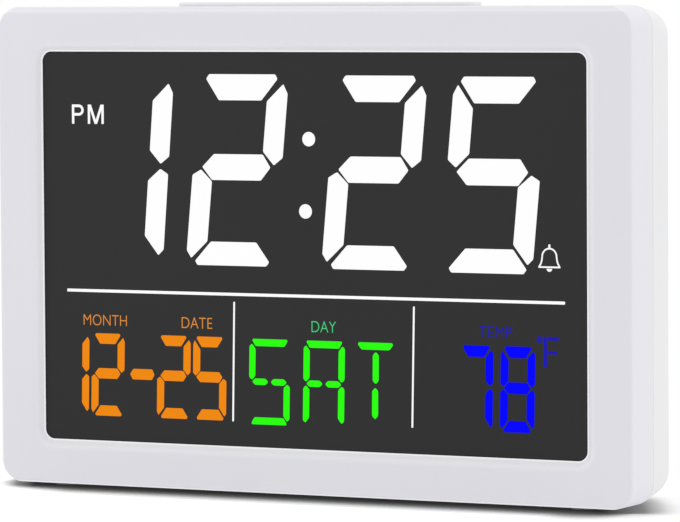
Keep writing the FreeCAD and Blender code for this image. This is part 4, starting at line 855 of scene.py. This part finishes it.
def degreeShapes(look):                             # a small ring and a plain F
    stem = look["left"] + look["stroke"] / 2
    start, upper = look["left"] + look["inset"], look["top"] - look["drop"]
    return ribbon(disc(*look["ring"]), look["ringLine"], True) + [
        strip(stem, look["top"], stem, look["bottom"], look["stroke"]),
        strip(start, upper, look["right"], upper, look["topLine"]),
        strip(start, look["middle"], look["right"] - look["short"], look["middle"], look["middleLine"])]


displayPiece("degree_mark", degreeShapes(degreeLook), navyLit)
print("display marks in place")

inkLook = {"tone": (96, 98, 104), "shade": (112, 114, 120), "gloss": 0.35, "wear": (1400, 2),
           "rough": 0.5, "wearRough": 0.1}
iconLook = {"line": 0.42, "reach": 1.75, "letterHigh": 2.3, "letterWide": 1.55, "letterGap": 0.75,
            "shortArm": 0.2, "longArm": 0.1, "arrowBase": 0.6, "arrowTip": 0.9, "arrowRound": 0.4,
            "bellShare": 0.5, "bellFoot": -2.4, "bellLine": 0.8, "rays": 8, "rayFrom": 0.72, "rayTo": 1.15,
            "sun": 0.45, "sunCount": 24}


def printedInk(name, look):
    finish, graph, shader = newFinish(name, {"Specular IOR Level": look["gloss"]})
    wear = graph.noise(*look["wear"])
    graph.join(graph.mix(wear, colour(*look["tone"]), colour(*look["shade"])), shader["Base Color"])
    graph.join(look["rough"] + wear.swing(look["wearRough"]), shader["Roughness"])
    return finish


def setIcon(look):                                  # the three letters of the setting key
    high, wide = look["letterHigh"] / 2, look["letterWide"]
    runs = []
    for place, letter in enumerate("SET"):
        low = (place - 1) * (wide + look["letterGap"]) - wide / 2
        far = low + wide
        mid = (low + far) / 2
        rows = {"S": [[(far, high), (low, high), (low, 0), (far, 0), (far, -high), (low, -high)]],
                "E": [[(far, high), (low, high), (low, -high), (far, -high)],
                      [(low, 0), (far - look["shortArm"], 0)]],
                "T": [[(low - look["longArm"], high), (far + look["longArm"], high)],
                      [(mid, high), (mid, -high)]]}
        for row in rows[letter]:
            runs += [strip(*start, *end, look["line"]) for start, end in zip(row, row[1:])]
    return runs


def arrowIcon(look, way):                           # a solid pointer, up or down
    reach = look["reach"]
    base, tip = -way * reach * look["arrowBase"], way * reach * look["arrowTip"]
    return [roundOff([(-reach, base), (reach, base), (0, tip)], look["arrowRound"])]


def bellIcon(look):
    small = {**bellLook, "x": 0.0, "foot": look["bellFoot"], "line": look["bellLine"]}
    share = look["bellShare"]
    return [[(x * share, z * share) for x, z in shape] for shape in bellShapes(small)]


def sunIcon(look):
    near, far = look["rayFrom"] * look["reach"], look["rayTo"] * look["reach"]
    shapes = [disc(0, 0, look["sun"] * look["reach"], look["sunCount"])]
    for step in range(look["rays"]):
        turn = 2 * math.pi * step / look["rays"]
        across, upward = math.cos(turn), math.sin(turn)
        shapes.append(strip(near * across, near * upward, far * across, far * upward, look["line"]))
    return shapes


keyInk = printedInk("keyInk", inkLook)
keyIcons = {"set": setIcon(iconLook), "down": arrowIcon(iconLook, -1), "up": arrowIcon(iconLook, 1),
            "alarm": bellIcon(iconLook), "light": sunIcon(iconLook)}
for key, shapes in keyIcons.items():
    keyLow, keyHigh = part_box(key + "_button")
    keyX = (midX - (keyLow.x + keyHigh.x) / 2) / mm
    keyZ = ((keyLow.z + keyHigh.z) / 2 - midZ) / mm
    placed = [[(keyX + x, keyZ + z) for x, z in shape] for shape in shapes]
    flatPiece(key + "_icon", placed, keyHigh.y, keyInk, key + "_key", 1)
print("icons on", len(keyIcons), "keys")


# painted shadow: the floor's colour darkens near the clock by an occlusion ramp; the shadow reaches less far
# to the left, and fades out along the slanted foot of the clock, where a glow paints it white
floorLook = {"half": 14, "samples": 24, "reach": 0.025, "seen": 2.4, "haze": 0.016, "span": 0.11,
             "left": {"from": -0.097, "over": 0.03, "near": 0.008},
             "right": {"from": -0.105, "over": 0.03, "near": 0.06},
             "matt": (0.4, 0.4, 0.4), "glow": (0.54, 0.54, 0.54), "slant": 0.517,
             "steps": ((0.0, 0.006), (0.58, 0.02), (0.66, 0.055), (0.74, 0.17), (0.82, 0.41), (0.92, 0.58),
                       (1.0, 0.8)),
             "ends": ((0.032, 1.0), (0.044, 0.6), (0.056, 0.19), (0.082, 0.0), (0.861, 0.0),
                      (0.917, 0.19), (0.938, 0.5), (0.952, 0.76), (0.966, 0.93), (0.991, 1.0))}


def shadowReach(graph, look):                       # how far the shade spreads, by place along X
    reach = look["reach"]
    for side, end in ((1, look["left"]), (-1, look["right"])):
        inward = (side * graph.axis("X") - end["from"]) / end["over"]
        share = graph.add("ShaderNodeClamp", inputs={"Value": inward})
        reach = end["near"] + share * (reach - end["near"])
    return reach


def floorFinish(look):
    material = bpy.data.materials.new("paleFloor")
    material.use_nodes = True
    graph = Graph(material.node_tree)
    near = {"Distance": shadowReach(graph, look)}
    shade = graph.add("ShaderNodeAmbientOcclusion", {"samples": look["samples"]}, near, "AO")
    # painted shadow: the occlusion ramp darkens the floor's colour near the clock
    tone = graph.greyRamp(shade, look["steps"])
    along = graph.axis("X") + look["slant"] * graph.axis("Y") + look["span"]
    ends = graph.greyRamp(along / (2 * look["span"]), look["ends"])
    lit = graph.add("ShaderNodeBsdfDiffuse", inputs={"Color": tone * (1 - ends) * look["seen"]})
    # painted light: a faint glow lifts the painted shadow everywhere, and rises to white at both ends
    haze = graph.add("ShaderNodeEmission", inputs={"Color": look["haze"] + ends * (1 - look["haze"])})
    seen = graph.add("ShaderNodeAddShader", inputs={0: lit, 1: haze})
    matt = graph.add("ShaderNodeBsdfDiffuse", inputs={"Color": look["matt"]})
    glow = graph.add("ShaderNodeEmission", inputs={"Color": look["glow"], "Strength": 1.0})
    plain = graph.add("ShaderNodeAddShader", inputs={0: matt, 1: glow})
    camera = graph.add("ShaderNodeLightPath", output="Is Camera Ray")
    surface = graph.add("ShaderNodeMixShader", inputs={0: camera, 1: plain, 2: seen})
    graph.add("ShaderNodeOutputMaterial", inputs={"Surface": surface})
    return material


def makeFloor(look):
    mesh = bpy.data.meshes.new("floor")
    half = look["half"]
    corners = [(-half, -half, 0), (half, -half, 0), (half, half, 0), (-half, half, 0)]
    mesh.from_pydata(corners, [], [(0, 1, 2, 3)])
    mesh.materials.append(floorFinish(look))
    floor = bpy.data.objects.new("floor", mesh)
    scene.collection.objects.link(floor)


makeFloor(floorLook)

roomLevel = 0.86                                    # light from the room on the object


def makeWorld(level):                               # seen directly or in gloss, the room is white
    world = bpy.data.worlds.new("paleRoom")
    scene.world = world
    world.use_nodes = True
    graph = Graph(world.node_tree)
    rays = ("Is Camera Ray", "Is Glossy Ray", "Is Transmission Ray")
    camera, glossy, through = [graph.add("ShaderNodeLightPath", output=ray) for ray in rays]
    seen = graph.other("MINIMUM", graph.other("MAXIMUM", camera + glossy, through), 1.0)
    strength = level + seen * (1 - level)
    back = graph.add("ShaderNodeBackground", inputs={"Color": (1, 1, 1), "Strength": strength})
    graph.add("ShaderNodeOutputWorld", inputs={"Surface": back})


makeWorld(roomLevel)

lampAim = (0, 0, 0.06)
lampLooks = {
    "keyLamp": {"spot": (-0.8, -0.4, 0.38), "size": (0.4, 0.4), "power": 0.95},
    "sideLamp": {"spot": (1.5, 0.15, 0.5), "size": (1.0, 1.0), "power": 2.7},
    "topLamp": {"spot": (-0.1, 0.3, 1.6), "size": (1.2, 0.8), "power": 4.4},
}


def softLamp(name, look):
    lamp = bpy.data.lights.new(name, "AREA")
    lamp.shape = "RECTANGLE"
    lamp.size, lamp.size_y = look["size"]
    lamp.energy = look["power"]
    stand = bpy.data.objects.new(name, lamp)
    scene.collection.objects.link(stand)
    stand.location = look["spot"]
    aim = Vector(lampAim) - stand.location
    stand.rotation_euler = aim.to_track_quat("-Z", "Y").to_euler()


for lampName, lampLook in lampLooks.items():
    softLamp(lampName, lampLook)

cameraLook = {"turn": 27.333, "rise": 3.32, "roll": -0.346, "lens": 261.94, "away": 1.330668,
              "right": 2.781 * mm, "up": -3.283 * mm, "near": 0.05, "far": 60}


def makeCamera(look):
    turn, rise, roll = [math.radians(look[part]) for part in ("turn", "rise", "roll")]
    back = Vector((math.sin(turn) * math.cos(rise), -math.cos(turn) * math.cos(rise), math.sin(rise)))
    side = (-back).cross(Vector((0, 0, 1))).normalized()
    up = side.cross(-back)
    sideRolled = math.cos(roll) * side + math.sin(roll) * up
    upRolled = -math.sin(roll) * side + math.cos(roll) * up
    lens = bpy.data.cameras.new("camera")
    lens.lens = look["lens"]
    lens.clip_start = look["near"]
    lens.clip_end = look["far"]
    camera = bpy.data.objects.new("camera", lens)
    scene.collection.objects.link(camera)
    shift = sideRolled * look["right"] + upRolled * look["up"]
    spot = Vector((midX, 0, midZ)) + back * look["away"] + shift
    turned = Matrix((sideRolled, upRolled, back)).transposed().to_4x4()
    camera.matrix_world = Matrix.Translation(spot) @ turned
    scene.camera = camera


makeCamera(cameraLook)
scene.view_settings.view_transform = "Standard"
print("camera, floor and lamps set")
